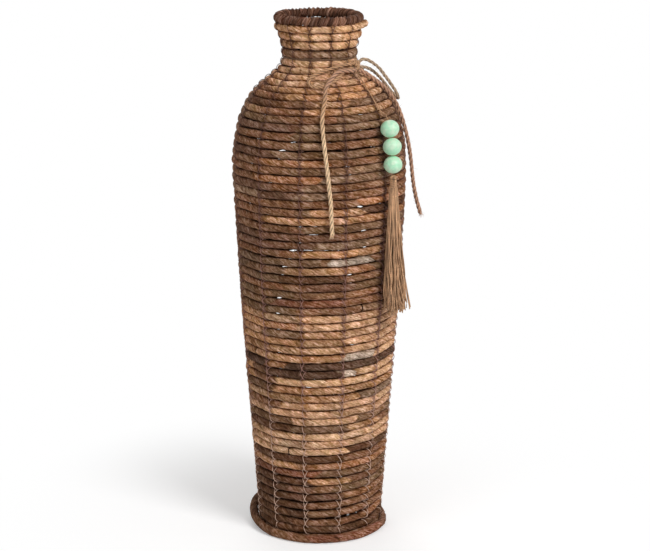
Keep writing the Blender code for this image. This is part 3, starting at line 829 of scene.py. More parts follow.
    def __post_init__(self) -> None:
        """Draw the outline through foot, belly, neck and mouth, and set it in by the rope's radius."""
        row_half = self.half_share * self.rope_radius
        first = (self.standing_share + self.back_share) * self.rope_radius + self.seat_gap + row_half
        self.last_height = self.height - 2 * self.rim_radius - self.seat_gap - row_half
        stops = [(self.foot_radius, first), self.belly, self.neck, (self.mouth_radius, self.last_height)]
        handles = (self.body_shares, self.shoulder_shares, self.throat_shares)
        spans = [self.span(*ends, shares) for *ends, shares in zip(stops, stops[1:], handles)]
        outline = np.vstack([spans[0], spans[1][1:], spans[2][1:]])
        along = np.gradient(outline, axis=0)
        along /= np.linalg.norm(along, axis=1)[:, None]
        self.outward = np.column_stack([along[:, 1], -along[:, 0]])
        self.middle = outline - self.outward * self.rope_radius
        self.distance = walked(self.middle)
        self.turns = float(np.interp(self.last_height, self.middle[:, 1], self.distance)) / self.pitch

    def span(self, start: Sequence[float], end: Sequence[float], shares: tuple) -> Array:
        """One curve of the outline.

        Args:
            start: Radius and height where it starts.
            end: Radius and height where it ends.
            shares: Its two handles, as shares of its spread and rise.

        Returns:
            Points along it.
        """
        start, end = np.array(start), np.array(end)
        leave, arrive = (start + (end - start) * np.array(handle) for handle in shares)
        share = np.linspace(0.0, 1.0, self.outline_steps + 1)[:, None]
        rest = 1.0 - share
        return rest**3 * start + 3 * rest**2 * share * leave + 3 * rest * share**2 * arrive + share**3 * end

    def level_climb(self, turns: Array) -> Array:
        """Rows climbed after some turns from a level end.

        Args:
            turns: Turns from that end.

        Returns:
            Rows climbed, which catch up with the turns as the climb grows even.
        """
        row = np.floor(turns)
        climbing = np.minimum(1.0, self.first_climb_share + row * self.climb_growth_share)
        return row + np.maximum(0.0, (turns - row - (1.0 - climbing)) / climbing)

    def climb(self, turns: Array) -> Array:
        """Rows climbed after some turns of the whole winding, which is level at both ends."""
        above = self.turns - self.level_climb(self.turns - turns)
        return np.where(turns < self.turns / 2, self.level_climb(turns), above)

    def at_row(self, rows: Array) -> tuple[Array, Array]:
        """Place on the wall's line some rows up.

        Args:
            rows: Rows above the line's start.

        Returns:
            Places and outward directions, as radius and height.
        """
        walk = rows * self.pitch + np.interp(rows, *np.transpose(self.moves)) / 1000.0
        return tuple(
            np.column_stack([np.interp(walk, self.distance, line[:, k]) for k in (0, 1)])
            for line in (self.middle, self.outward)
        )

    def on_line(self, turns: Array) -> tuple[Array, Array]:
        """Middle of the rope after some turns, which leaves the wall at its last end.

        Args:
            turns: Turns along the winding.

        Returns:
            Middles and outward directions, as radius and height.
        """
        middle, outward = self.at_row(self.climb(turns))
        leaving = np.maximum(0.0, 1.0 - (self.turns - turns) / self.end_turn_share) ** 2
        return middle + leaving[:, None] * np.array([self.end_out, self.end_rise]), outward

    def bearing(self, turns: Array) -> Array:
        """Bearing after some turns."""
        return self.end_bearing - 360.0 * (self.turns - turns)

    def beside(self, turns: Array, bearing: float) -> Array:
        """Degrees from a bearing to the rope after some turns, from -180 to 180."""
        return (self.bearing(turns) - bearing + 180.0) % 360.0 - 180.0

    def first_crossing(self) -> float:
        """Share of a rib's angle from the winding's start to the first rib it crosses."""
        return ((self.first_rib - float(self.bearing(0.0))) / (360.0 / self.ribs)) % 1.0

    def splice(self, share: float) -> float:
        """Turns at the splice nearest to a share of all turns, half way between two ribs."""
        first = self.first_crossing()
        return (first + int(share * self.turns * self.ribs - first) + 0.5) / self.ribs

    def parting(self, turns: Array, middle: Array) -> Array:
        """How far the rows are moved and pushed apart where light shows through between them.

        Args:
            turns: Turns along the winding.
            middle: Radius and height of the rope's middle at each of them.

        Returns:
            Distance that the rope is pushed up the wall at each of them.
        """
        pushed = np.zeros(len(turns))
        for depth, reach, moved, flecks in self.flecks:
            for bearing, height in flecks:
                aside = np.radians(self.beside(turns, bearing)) * middle[:, 0]
                rise = middle[:, 1] + moved - height
                near = np.exp(-(aside / reach) ** 2 - (rise / (self.part_rows * self.pitch)) ** 4)
                pushed += (np.sign(rise) * depth + moved) * near
        return pushed

    def bulge(self, turns: Array, height: Array) -> Array:
        """How far the belly and the neck stand out at their two sides.

        Args:
            turns: Turns along the winding.
            height: Height of the rope at each of them.

        Returns:
            Distance outwards at each of them.
        """
        return sum(
            depth * np.exp(-(self.beside(turns, bearing) / wide) ** 2 - ((height - middle) / tall) ** 2)
            for bearing, middle, depth, wide, tall in self.bulges
        )

    def path(self) -> tuple[Array, Array, Array, Array, Array]:
        """The whole winding's middle line, a little uneven, bent and pinched at every rib.

        Returns:
            Turns, points, outward directions, size shares and pinches along it.
        """
        coarse = np.linspace(0.0, self.turns, int(self.turns * self.coarse_per_turn))
        middle, _ = self.on_line(coarse)
        reach = walked(places(self.bearing(coarse), middle[:, 0], middle[:, 1]))
        wanted = np.linspace(0.0, reach[-1], int(reach[-1] / self.point_spacing) + 1)
        turns = np.interp(wanted, reach, coarse)
        middle, outward = self.on_line(turns)
        share = (turns * self.ribs - self.first_crossing()) % 1.0
        bow = 1.0 - self.rib_bow_share * (1.0 - (2.0 * share - 1.0) ** 2)
        near = np.minimum(share, 1.0 - share) * (2 * math.pi / self.ribs) * middle[:, 0]
        pinch = np.exp(-(near / self.pinch_reach) ** 2)
        foot, mouth = self.calm_ends
        calm = np.clip((self.turns - turns) / mouth, 0.0, 1.0) * np.clip(turns / foot, 0.0, 1.0)
        aside = (ripple(wanted, self.aside_waves) + self.parting(turns, middle)) * calm
        out = (ripple(wanted, self.out_waves) + self.bulge(turns, middle[:, 1])) * calm
        radius = middle[:, 0] * bow + outward[:, 0] * out - outward[:, 1] * aside
        height = middle[:, 1] + outward[:, 1] * out + outward[:, 0] * aside
        size = (1.0 + ripple(wanted, self.size_waves)) * np.interp(turns, *np.transpose(self.girths))
        bearing = self.bearing(turns)
        points, away = places(bearing, radius, height), places(bearing, outward[:, 0], outward[:, 1])
        return turns, points, away, size, pinch

    def row_places(self, rib: int) -> tuple[Array, Array, Array]:
        """Rows that cross one rib.

        Args:
            rib: The rib's number, from 0.

        Returns:
            Turns, middles and outward directions of the rows there.
        """
        first = (self.first_crossing() + rib) / self.ribs
        turns = np.arange(first % 1.0, self.turns - self.last_row_gap, 1.0)
        return turns, *self.on_line(turns)


@dataclass
class Leaves:
    """Colours of the leaf lengths that the rope is twisted from.

    Each row is its colour at the left side, then bearings further right with the colour that starts there.
    The last one runs on round the back up to the next row's first.
    """

    wall: Wall
    seed: int = 5
    short_row: float = 54.0
    short_length: tuple[float, float] = (0.015, 0.034)
    long_length: tuple[float, float] = (0.014, 0.050)
    slant: float = 0.006
    left_side: float = -90.0
    row_start: float = 0.654
    light_range: float = 0.15
    neck_light: float = 1.12
    warm_range: float = 0.05
    rows: tuple[str, ...] = (
        "DARK", "DARK -20 BROWN", "DARK -15 MOTTLED 10 BROWN", "DARK -10 BROWN",
        "DARK -25 PURPLE 18 ORANGE 48 BROWN", "DARK -30 PURPLE -5 BROWN 15 OLIVE", "DARK -8 TAN 25 BROWN",
        "RUST 0 MOTTLED 40 OLIVE", "TAN -15 ORANGE", "DARK 25 BROWN", "LIGHT 22 DARK", "PALE_TAN", "LIGHT",
        "DARK -20 MOTTLED 28 TAN 60 BROWN", "OLIVE -25 PALE_TAN 30 OLIVE", "PALE_TAN", "BROWN -35 PALE_TAN",
        "TAN 30 GREY", "OLIVE -35 TAN", "TAN -62 BROWN -38 LIGHT",
        "TAN -58 BROWN -42 DARKEST 15 PALE_GREY 26 LIGHT", "DARKEST -42 ORANGE -23 DARKEST",
        "TAN 18 PALE_GREY 48 LIGHT", "TAN -20 PALE_TAN", "TAN 20 PALE_TAN",
        "TAN -48 GREY -12 TAN 20 PALE_TAN", "TAN -40 ORANGE -18 PALE_TAN", "TAN -40 PALE_TAN",
        "OLIVE -12 BROWN 30 GREY", "OLIVE -35 RUST 20 BROWN", "OLIVE -20 BROWN", "BROWN -12 PURPLE 22 OLIVE",
        "MOTTLED -25 DARK 15 BROWN", "MOTTLED -20 TAN 18 ORANGE 40 OLIVE", "MOTTLED 10 PALE_GREY 42 BROWN",
        "BROWN -12 TAN", "PURPLE -5 GREY", "PURPLE 12 BROWN", "BROWN -12 OLIVE 15 MOTTLED",
        "BROWN -35 TAN 28 ORANGE", "BROWN -12 OLIVE -2 TAN 32 DARK", "BROWN 30 ORANGE",
        "GREY -45 PURPLE -15 GREY 12 BROWN", "PURPLE -35 BROWN -12 GREY 5 BROWN", "BROWN -50 ORANGE 0 GREY",
        "BROWN -22 OLIVE 5 GREY", "BROWN -40 ORANGE 5 BROWN", "PURPLE -30 GREY -10 OLIVE 8 MOTTLED",
        "BROWN -15 GREY 5 BROWN", "BROWN -15 OLIVE 25 PURPLE", "PURPLE -15 GREY 15 MOTTLED",
        "OLIVE -30 BROWN 10 MOTTLED", "TAN -45 BROWN -8 TAN", "DARK -35 BROWN -5 TAN 25 MOTTLED",
        "BROWN -25 TAN", "BROWN -50 TAN", "TAN -60 PALE_TAN", "TAN -60 PALE_TAN", "PALE_TAN -60 LIGHT",
        "PALE_TAN -40 LIGHT", "BROWN -55 GREY", "TAN -30 LIGHT", "TAN -40 LIGHT", "TAN -15 LIGHT",
    )

    def changes(self, turns: Array, reach: Array) -> list[tuple[float, float, Shade]]:
        """Where a row's written colours start.

        Args:
            turns: Turns along the winding.
            reach: Distance along the winding at each of them.

        Returns:
            Turns, distance and colour of each.
        """
        found = [(0.0, Shade.DARK)]
        for row, written in enumerate(self.rows):
            words = [self.left_side, *written.split()]
            for bearing, name in zip(words[::2], words[1::2]):
                found.append((row + self.row_start + float(bearing) / 360.0, Shade[name]))
        return [(turn, float(np.interp(turn, turns, reach)), shade) for turn, shade in found]

    def schedule(self, turns: Array, reach: Array) -> tuple[Array, Array]:
        """Where each leaf starts along the winding, and its colour.

        Args:
            turns: Turns along the winding.
            reach: Distance along the winding at each of them.

        Returns:
            Starting distances and linear colours.
        """
        numbers = np.random.default_rng(self.seed)
        changes = self.changes(turns, reach)
        ends = [mark for _, mark, _ in changes[1:]] + [float(reach[-1])]
        starts, colours = [], []
        for (turn, mark, shade), end in zip(changes, ends):
            lengths, lit = self.long_length, 1.0
            if turn > self.short_row:
                lengths, lit = self.short_length, self.neck_light
            at = mark
            while at < end - lengths[0] / 2 or at == mark:
                starts.append(at)
                value = (1.0 + numbers.uniform(-self.light_range, self.light_range)) * lit
                warm = numbers.uniform(-self.warm_range, self.warm_range)
                colours.append(np.array(shade.linear) * value * np.array([1 + warm, 1.0, 1 - warm]))
                at += numbers.uniform(*lengths)
        return np.array(starts), np.array(colours)


@dataclass(frozen=True)
class LeafColour:
    """How a rope is coloured leaf by leaf, each leaf ending on a slant with a dark line, with painted shade
    in the crevices between rows and where a stitch pinches it.

    The dark line is its length and its share of light. Facing is how squarely the surface lies to the wall's
    outside, and the light that the painted crevice shade leaves there. The stitch shade is the light that
    the painted shade takes where a stitch pinches the rope most. Light is lost a little faster in green, and
    faster still in blue, in the dark lines and the painted shade alike.
    """

    slant: float
    end_line: tuple[float, float] = (0.0015, 0.60)
    slant_turn: float = 0.31
    painted_stitch_shade: float = 0.30
    facing_shade: tuple[Triple, Triple] = ((0.05, 0.30, 0.56), (0.34, 0.55, 1.0))
    tint: Triple = (0.90, 1.18, 1.55)

    def crevice_shade(self, points: Array, outward: Array) -> Array:
        """Painted shade at each point of a swept rope: the light left is less where it turns away from the
        wall's face, into the crevices between rows.

        Args:
            points: The rope's points, one row of them for each point of its line.
            outward: Outward direction of the wall at each point of the line.

        Returns:
            Share of light at each point.
        """
        side = points - points.mean(axis=1, keepdims=True)
        side /= np.linalg.norm(side, axis=2, keepdims=True)
        return np.interp(np.einsum("ijk,ik->ij", side, outward), *self.facing_shade).ravel()

    def paint(self, piece: Object, starts: Array, colours: Array, outward: Array | None = None,
              pinch: Array | None = None) -> Object:
        """Keep the rope's colour on it.

        Args:
            piece: Rope with its strand and the share of the way round kept on it.
            starts: Distances along the rope where leaves start.
            colours: Linear colour of each leaf.
            outward: Outward direction of the wall at each point of the rope's line, for the painted shade in
                the crevices.
            pinch: How tightly a stitch holds the rope at each point of its line, where painted shade darkens
                it.

        Returns:
            The piece.
        """
        mesh = piece.data
        count = len(mesh.vertices)
        strand, around, points = (np.zeros(count * width, np.float32) for width in (3, 1, 3))
        mesh.attributes["strand"].data.foreach_get("vector", strand)
        mesh.attributes["around"].data.foreach_get("value", around)
        mesh.vertices.foreach_get("co", points)
        along = strand[::3] + self.slant * np.sin(2 * math.pi * (around + strand[::3] / self.slant_turn))
        index = np.clip(np.searchsorted(starts, along) - 1, 0, len(starts) - 1)
        length, share = self.end_line
        light = np.where(np.abs(along - starts[index]) < length, share, 1.0)
        # Painted shade in the crevices between rows, where the rope turns away from the wall's face.
        if outward is not None:
            light = light * self.crevice_shade(points.reshape(len(outward), -1, 3).astype(float), outward)
        # Painted shade where a stitch pinches the rope.
        if pinch is not None:
            light = light * (1.0 - self.painted_stitch_shade * np.repeat(pinch, count // len(pinch)))
        rows = np.ones((count, 4), np.float32)
        # The painted shade and the dark leaf-end lines lose light faster in green and blue.
        rows[:, :3] = colours[index] * light[:, None] ** np.array(self.tint)
        mesh.attributes.new("shade", "FLOAT_COLOR", "POINT").data.foreach_set("color", rows.ravel())
        return piece


@dataclass
class Ropes:
    """The rope pieces: eleven lengths of the wall, the foot rope and the base coil.

    The taper is how much narrower a length's ends are, over what distance, and its power. The foot's
    colours have the bearings where they start. The base wave is its spacing and depth.
    """

    wall: Wall
    leaves: Leaves
    shape: Tree
    finish: Material
    taper: Triple = (0.14, 0.004, 0.5)
    foot_reach: float = 0.0825
    foot_inset: float = 0.0012
    foot_radius: float = 0.0048
    foot_start: float = 236.0
    foot_turn_share: float = 0.985
    foot_steps: int = 260
    foot_lift: float = 0.0115
    foot_flare: float = 0.0014
    foot_tuck: float = 0.0042
    foot_tuck_from: tuple[float, float] = (72.0, 98.0)
    foot_lift_share: float = 0.22
    foot_colours: tuple = (
        (236.0, Shade.DARK), (150.0, Shade.PURPLE), (62.0, Shade.RUST), (26.0, Shade.BROWN),
        (-8.0, Shade.RUST), (-40.0, Shade.DARK),
    )
    foot_gap: float = 0.0004
    core_radius: float = 0.0052
    coil_steps: int = 110
    coil_extra: float = 0.0002
    base_wave: tuple[float, float] = (0.03, 0.05)
    base_lumps: float = 0.0005
    base_leaf: float = 0.045
    base_light: tuple[float, float] = (0.88, 1.14)

    def build_wall(self) -> list[Object]:
        """Make each length of the wall's rope.

        Returns:
            The lengths, foot to mouth.
        """
        turns, points, outward, size, pinch = self.wall.path()
        reach = walked(points)
        starts, colours = self.leaves.schedule(turns, reach)
        colour = LeafColour(self.leaves.slant)
        narrower, over, power = self.taper
        made, low = [], 0.0
        for name, share, slot in self.wall.lengths:
            high = self.wall.splice(share) if share < 1.0 else self.wall.turns + 1.0
            inside = (turns >= low) & (turns < high)
            along = reach[inside]
            to_end = np.minimum(along - along[0], along[-1] - along)
            taper = 1.0 - narrower + narrower * np.clip(to_end / over, 0.0, 1.0) ** power
            line = Line(points[inside], size[inside] * taper, pinch[inside], along)
            piece = sweep(f"{name}_leaf", [line], self.shape, self.finish, radius=self.wall.leaf_radius)
            # Leaf colours, with painted shade in the crevices between rows and where the stitches pinch the
            # rope.
            colour.paint(piece, starts, colours, outward[inside], pinch[inside])
            made.append(dress(piece, "vase", name))
            low = high
        return made

    def build_foot(self) -> Object:
        """Make the thick turn round the base, whose far end rises beside the wall.

        Returns:
            The piece.
        """
        turned = np.linspace(0.0, self.foot_turn_share, self.foot_steps)
        risen = np.maximum(0.0, 1.0 - (self.foot_turn_share - turned) / self.foot_lift_share)
        half = self.wall.half_share * self.wall.rope_radius
        bearing = self.foot_start - 360.0 * turned
        radius = self.foot_reach - half - self.foot_inset + self.foot_flare * np.minimum(1.0, 3.0 * risen)
        radius -= self.foot_tuck * np.interp(bearing, self.foot_tuck_from, (0.0, 1.0))
        points = places(bearing, radius, self.foot_radius + self.foot_lift * ease(risen))
        reach = walked(points)
        marks = [(float(np.interp(-start, -bearing, reach)), shade) for start, shade in self.foot_colours]
        return self.finish_base("foot_rope", points, self.foot_radius, marks, 21)

    def build_coil(self) -> Object:
        """Make the flat coil that closes the bottom.

        Returns:
            The piece.
        """
        standing = self.wall.standing_share * self.wall.rope_radius
        outer = self.foot_reach - 3 * self.wall.half_share * self.wall.rope_radius - self.foot_gap
        turns = (outer - self.core_radius) / self.wall.pitch
        left = np.linspace(turns, 0.0, int(turns * self.coil_steps))
        radius = outer - self.wall.pitch * self.wall.level_climb(left)
        points = places(self.foot_start + 360.0 * left, radius, np.full(len(left), standing))
        points = evenly(points, self.wall.point_spacing)
        return self.finish_base("base_coil", points, standing + self.coil_extra, [(0.0, Shade.BROWN)], 22)

    def finish_base(
        self, name: str, points: Array, girth: float, marks: Sequence[tuple[float, Shade]], seed: int,
    ) -> Object:
        """Sweep, colour and place a rope of the base, flattened where it stands on the floor.

        Args:
            name: The node that it stands for.
            points: Its middle line.
            girth: Its radius.
            marks: Distances along it where a colour starts, and the colours.
            seed: Start of its random numbers.

        Returns:
            The piece.
        """
        points = evenly(points, self.wall.point_spacing)
        reach = walked(points)
        spacing, depth = self.base_wave
        line = Line(points, 1.0 + wander(reach, spacing, seed) * depth)
        piece = sweep(
            f"{name}_leaf", [line], self.shape, self.finish, radius=girth, lump_depth=self.base_lumps,
        )
        for vertex in piece.data.vertices:
            vertex.co.z = max(0.0, vertex.co.z)
        numbers = np.random.default_rng(seed)
        starts = np.arange(0.0, reach[-1], self.base_leaf)
        index = np.searchsorted([mark for mark, _ in marks], starts, side="right") - 1
        colours = np.array([marks[max(0, k)][1].linear for k in index])
        colours *= numbers.uniform(*self.base_light, (len(starts), 1))
        return dress(LeafColour(self.leaves.slant).paint(piece, starts, colours), "vase", name)


@dataclass
class Rim:
    """The ring wrapped with dark leaf that finishes the mouth.

    It has bearings and how much thicker it is there, and hangs lower where it is. Its back rises and its
    front sinks. Every wrap has its own girth, lift and colour.
    """

    wall: Wall
    wraps: int = 56
    steps_each: int = 10
    tube: float = 0.0048
    tube_sides: int = 24
    uneven_share: float = 0.08
    uneven_lift: float = 0.0003
    groove_share: float = 0.05
    lump_power: float = 0.6
    sway: float = 0.00025
    sways: int = 5
    narrower: float = 0.0004
    to_left: float = 0.0008
    leaf_edges: float = 2.0
    edge_depth: float = 0.0017
    lump_depth: float = 0.0006
    back_rise: float = 0.0019
    front_sink: float = 0.0014
    hang_share: float = 0.7
    thicker: tuple = (
        (0.0, 1.0), (100.0, 1.0), (115.0, 1.15), (178.0, 1.15), (181.0, 1.03), (190.0, 1.03), (192.0, 1.12),
        (195.0, 1.03), (208.0, 1.03), (212.0, 1.12), (245.0, 1.12), (262.0, 1.0), (360.0, 1.0),
    )
    light: tuple[float, float] = (0.62, 1.38)
    pale_share: float = 0.55
    pale_power: float = 2.5
    colour: LeafColour = LeafColour(0.0022, end_line=(0.0009, 0.40))
    seed: int = 31

    def build(self, shape: Tree, finish: Material) -> Object:
        """Make the wrapped ring, one lump for each wrap.

        Args:
            shape: The leaf tree.
            finish: The leaf material.

        Returns:
            The piece.
        """
        numbers = np.random.default_rng(self.seed)
        ring = float(np.interp(self.wall.last_height, self.wall.middle[:, 1], self.wall.middle[:, 0]))
        ring += self.wall.rim_overhang - self.narrower
        girth = 2 * math.pi * ring
        step = np.arange(self.wraps * self.steps_each)
        bearing = step * 360.0 / len(step)
        round_way, wrap = np.radians(bearing), step // self.steps_each
        girths = 1.0 + numbers.uniform(-self.uneven_share, self.uneven_share, self.wraps)
        lifts = numbers.uniform(-self.uneven_lift, self.uneven_lift, self.wraps)
        lump = np.abs(np.sin(math.pi * ((step + 0.5) / self.steps_each % 1.0))) ** self.lump_power
        thicker = np.interp(bearing, *np.transpose(self.thicker))
        radius = ring + self.sway * np.sin(self.sways * round_way + 1.0) + lifts[wrap] * lump
        height = self.wall.height - self.wall.rim_radius + lifts[::-1][wrap] * lump
        height += self.back_rise * (0.5 - 0.5 * np.cos(round_way)) - self.front_sink
        height -= self.tube * (thicker - 1.0) * self.hang_share
        size = girths[wrap] * (1.0 - self.groove_share * (1.0 - lump)) * thicker
        points = places(bearing, radius, height) - np.array([self.to_left, 0.0, 0.0])
        line = Line(points, size, along=bearing / 360.0 * girth, closed=True)
        piece = sweep(
            "rim_wrap", [line], shape, finish, radius=self.tube, sides=self.tube_sides,
            lay_length=self.leaf_edges * girth / self.wraps, leaf_edges=self.leaf_edges,
            edge_depth=self.edge_depth, lump_depth=self.lump_depth,
        )
        value = numbers.uniform(*self.light, (self.wraps, 1))
        mixed = numbers.random((self.wraps, 1)) ** self.pale_power * self.pale_share
        dark, pale = np.array(Shade.RIM.linear), np.array(Shade.RIM_PALE.linear)
        starts = np.arange(self.wraps) * girth / self.wraps
        self.colour.paint(piece, starts, (dark * (1 - mixed) + pale * mixed) * value)
        return dress(piece, "vase", "rim_ring")


@dataclass
class Stitching:
    """Thin threads that bind each row to every upright wire, crossing on the face of the row."""

    wall: Wall
    radius: float = 0.00038
    sides: int = 5
    half_widths: tuple[float, float] = (0.0022, 0.0040)
    wide_rib: int = 1
    wide_extra: float = 0.0008
    off_middle: float = 0.0008
    seat: float = 0.0003
    sunk: float = 0.0016
    angles: tuple = (-96.0, -62.0, -30.0, 0.0, 30.0, 62.0, 96.0)
    threads: tuple = (("stitches_rising", 1, 0.5), ("stitches_falling", -1, 1.0))
    first_seed: int = 100

    def build(self, shape: Tree, finish: Material) -> list[Object]:
        """Make the threads of all wires, in two pieces of opposite slant.

        Args:
            shape: The thread tree.
            finish: The thread material.

        Returns:
            The two pieces.
        """
        made = []
        for name, way, seen_share in self.threads:
            lines = [Line(self.thread(rib, way, seen_share)) for rib in range(self.wall.ribs)]
            piece = sweep(name, lines, shape, finish, radius=self.radius, sides=self.sides)
            made.append(dress(piece, "vase"))
        return made

    def thread(self, rib: int, way: int, seen_share: float) -> Array:
        """Line of one thread up one wire.

        Args:
            rib: The wire's number.
            way: 1 if it slants to the right as it climbs each row, and -1 if to the left.
            seen_share: Share of the rows whose face it crosses; it is sunk in the leaf on the rest.

        Returns:
            Its points.
        """
        turns, middle, outward = self.wall.row_places(rib)
        numbers = np.random.default_rng(self.first_seed + rib * 2 + (way > 0))
        bearings = self.wall.bearing(turns)
        past_first = bearings[0] % 360.0 - self.wall.first_rib
        number = round(past_first / (360.0 / self.wall.ribs)) % self.wall.ribs
        extra = self.wide_extra if number == self.wide_rib else 0.0
        points = []
        for bearing, (radius, height), (out_r, out_z) in zip(bearings, middle, outward):
            width = numbers.uniform(*self.half_widths) + extra
            shift = numbers.uniform(-self.off_middle, self.off_middle)
            reach = self.wall.leaf_radius + self.seat + self.radius
            if numbers.random() > seen_share:
                reach -= self.sunk
            for angle in self.angles:
                aside = way * width * angle / self.angles[-1] + shift
                far, up = reach * math.cos(math.radians(angle)), reach * math.sin(math.radians(angle))
                point_r, point_z = radius + out_r * far - out_z * up, height + out_z * far + out_r * up
                points.append(place(float(bearing) + math.degrees(aside / radius), point_r, point_z))
        return np.array(points)


@dataclass
class Twine:
    """The jute twine: its turn round the neck, the knot, and the bow's loops and tails.

    Routes are stops, each a bearing, a radius and a height. The knot's strands are stops too, each in
    millimetres to the right of the knot's middle, out of it and above it. Its wraps have where they start
    across, how far they go and how much they sway. Sizes are the first, the last and how many.
    """

    wall: Wall
    shape: Tree
    thread: Tree
    radius: float = 0.0017
    loop_radius: float = 0.0019
    tail_radius: float = 0.0024
    tail_flare: float = 0.03
    tie_radius: float = 0.0008
    row_share: float = 0.93
    tie_height: float = 0.5480
    tie_crossing: tuple[float, float] = (150.0, 210.0)
    tie_steps: int = 500
    knot_bearing: float = 51.0
    knot_drop: float = 0.0029
    knot_half_height: float = 0.0048
    knot_half_length: float = 0.0055
    knot_depth_share: float = 0.72
    knot_wraps: float = 2.4
    knot_steps: int = 48
    knot_fuzz_reach: float = 0.0085
    knot_strands: tuple = (
        ((-8.2, -2.2, 0.4), (-5.2, 0.2, 2.2), (-2.0, 2.0, 3.0), (2.0, 2.2, 2.4), (5.2, 0.4, 2.2),
         (8.0, -1.8, 3.0)),
        ((-7.8, -2.0, -2.4), (-4.8, 0.4, -2.6), (-1.6, 1.8, -3.0), (2.0, 1.6, -2.8), (5.0, 0.2, -2.0),
         (7.4, -2.0, -1.6)),
        ((-6.0, -3.0, 1.2), (-2.0, -3.6, -0.4), (2.0, -3.6, 0.4), (6.0, -3.0, 1.0)),
    )
    spacing: float = 0.0006
    left_loop: tuple = (
        (43.6, 0.0504, 0.5473), (37.0, 0.0496, 0.5470), (29.0, 0.0489, 0.5459), (20.5, 0.0484, 0.5443),
        (12.0, 0.0489, 0.5424), (3.5, 0.0506, 0.5405), (-4.0, 0.0534, 0.5378), (-9.3, 0.0576, 0.5342),
        (-10.6, 0.0622, 0.5304), (-7.4, 0.0658, 0.5273), (-1.2, 0.0671, 0.5260), (5.5, 0.0660, 0.5269),
        (11.5, 0.0631, 0.5293), (17.5, 0.0593, 0.5326), (24.0, 0.0552, 0.5362), (31.0, 0.0522, 0.5392),
        (38.0, 0.0511, 0.5414), (44.0, 0.0510, 0.5429),
    )
    right_loop: tuple = (
        (58.0, 0.0509, 0.5476), (61.5, 0.0526, 0.5504), (65.0, 0.0564, 0.5508), (69.0, 0.0616, 0.5478),
        (73.0, 0.0688, 0.5412), (75.5, 0.0756, 0.5318), (77.5, 0.0820, 0.5222), (79.8, 0.0870, 0.5134),
        (82.2, 0.0886, 0.5076), (86.5, 0.0882, 0.5053), (89.6, 0.0860, 0.5064), (90.2, 0.0804, 0.5122),
        (88.0, 0.0742, 0.5204), (83.5, 0.0680, 0.5289), (77.5, 0.0618, 0.5361), (69.0, 0.0560, 0.5413),
        (58.0, 0.0514, 0.5432),
    )
    front_tail: tuple = (
        (48.6, 0.0530, 0.5408), (40.5, 0.0553, 0.5406), (33.0, 0.0558, 0.5414), (26.5, 0.0559, 0.5412),
        (20.5, 0.0568, 0.5401), (14.5, 0.0609, 0.5364), (9.3, 0.0672, 0.5309), (6.0, 0.0726, 0.5260),
        (4.8, 0.0770, 0.5184), (4.0, 0.0815, 0.5106), (2.6, 0.0868, 0.5016), (2.0, 0.0907, 0.4928),
        (2.3, 0.0944, 0.4824), (3.4, 0.0986, 0.4625), (4.8, 0.1006, 0.4420), (6.0, 0.1008, 0.4218),
        (7.0, 0.1005, 0.4057), (7.6, 0.1001, 0.3855), (8.0, 0.0998, 0.3693),
    )
    side_tail: tuple = (
        (55.2, 0.0520, 0.5405), (61.0, 0.0556, 0.5372), (66.0, 0.0597, 0.5336), (70.5, 0.0650, 0.5286),
        (73.5, 0.0715, 0.5228), (76.0, 0.0782, 0.5156), (78.0, 0.0843, 0.5070), (79.0, 0.0890, 0.4976),
        (80.0, 0.0932, 0.4864), (81.0, 0.0970, 0.4730), (82.5, 0.1001, 0.4590), (84.0, 0.1024, 0.4450),
        (85.0, 0.1042, 0.4310), (86.0, 0.1056, 0.4170), (87.0, 0.1074, 0.4040), (88.0, 0.1100, 0.3910),
        (89.0, 0.1130, 0.3800), (89.5, 0.1152, 0.3726),
    )
    uneven: tuple[float, float] = (0.012, 0.05)
    flare_power: float = 40.0
    rows_tried: int = 5
    wrap_inset: float = 0.4
    wrap_across: Triple = (-0.0030, 0.0062, 0.0006)
    wrap_out: float = 0.0004
    knot_thinner: float = 0.95
    fuzz_reach: float = 0.0045
    fuzz_root: float = 0.6
    fuzz_bend: float = 0.35
    fuzz_lengths: tuple[float, float] = (0.4, 1.2)
    fuzz_sizes: tuple[float, float, int] = (1.0, 0.4, 5)
    knot_fuzz_roots: int = 12
    knot_fuzz_count: int = 150
    fray_count: int = 34
    fray_points_back: int = 6
    fray_inset: float = 0.002
    fray_spread: tuple[float, float] = (0.1, 0.5)
    fray_lengths: tuple[float, float] = (0.003, 0.0075)
    fray_roots: tuple[float, float] = (0.1, 0.75)
    fray_power: float = 1.6
    fray_sizes: tuple[float, float, int] = (1.0, 0.5, 6)

    def free_cord(self, node: str, route: tuple, finish: Material, far_end: str, lay: float) -> Object:
        """Make one free length of the bow.

        Args:
            node: The node that it stands for.
            route: Its stops.
            finish: The twine material.
            far_end: What it ends in.
            lay: Length over which its strands wind once round each other.

        Returns:
            The piece.
        """
        points = routed(route, self.spacing)
        spacing, depth = self.uneven
        size = 1.0 + wander(walked(points), spacing, len(points)) * depth
        drawn = self.loop_radius
        if far_end == "bare":
            drawn = self.tail_radius
            size *= 1.0 + self.tail_flare * np.linspace(0.0, 1.0, len(points)) ** self.flare_power
        line = Line(points, size)
        piece = sweep(f"{node}_twine", [line], self.shape, finish, radius=drawn, lay_length=-lay)
        dress(piece, "vase", node)
        return piece

    def clear_radius(self, height: float, reach: float) -> float:
        """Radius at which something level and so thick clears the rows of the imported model.

        Args:
            height: Its height.
            reach: Its own radius.

        Returns:
            Distance from the axis.
        """
        apart = self.row_share * self.wall.rope_radius + self.wall.seat_gap + reach
        rise = self.wall.middle[:, 1] - height
        near = np.abs(rise) <= max(apart, float(np.abs(rise).min()))
        spread = np.sqrt(np.maximum(0.0, apart**2 - rise[near] ** 2))
        return float((self.wall.middle[near, 0] + spread).max())

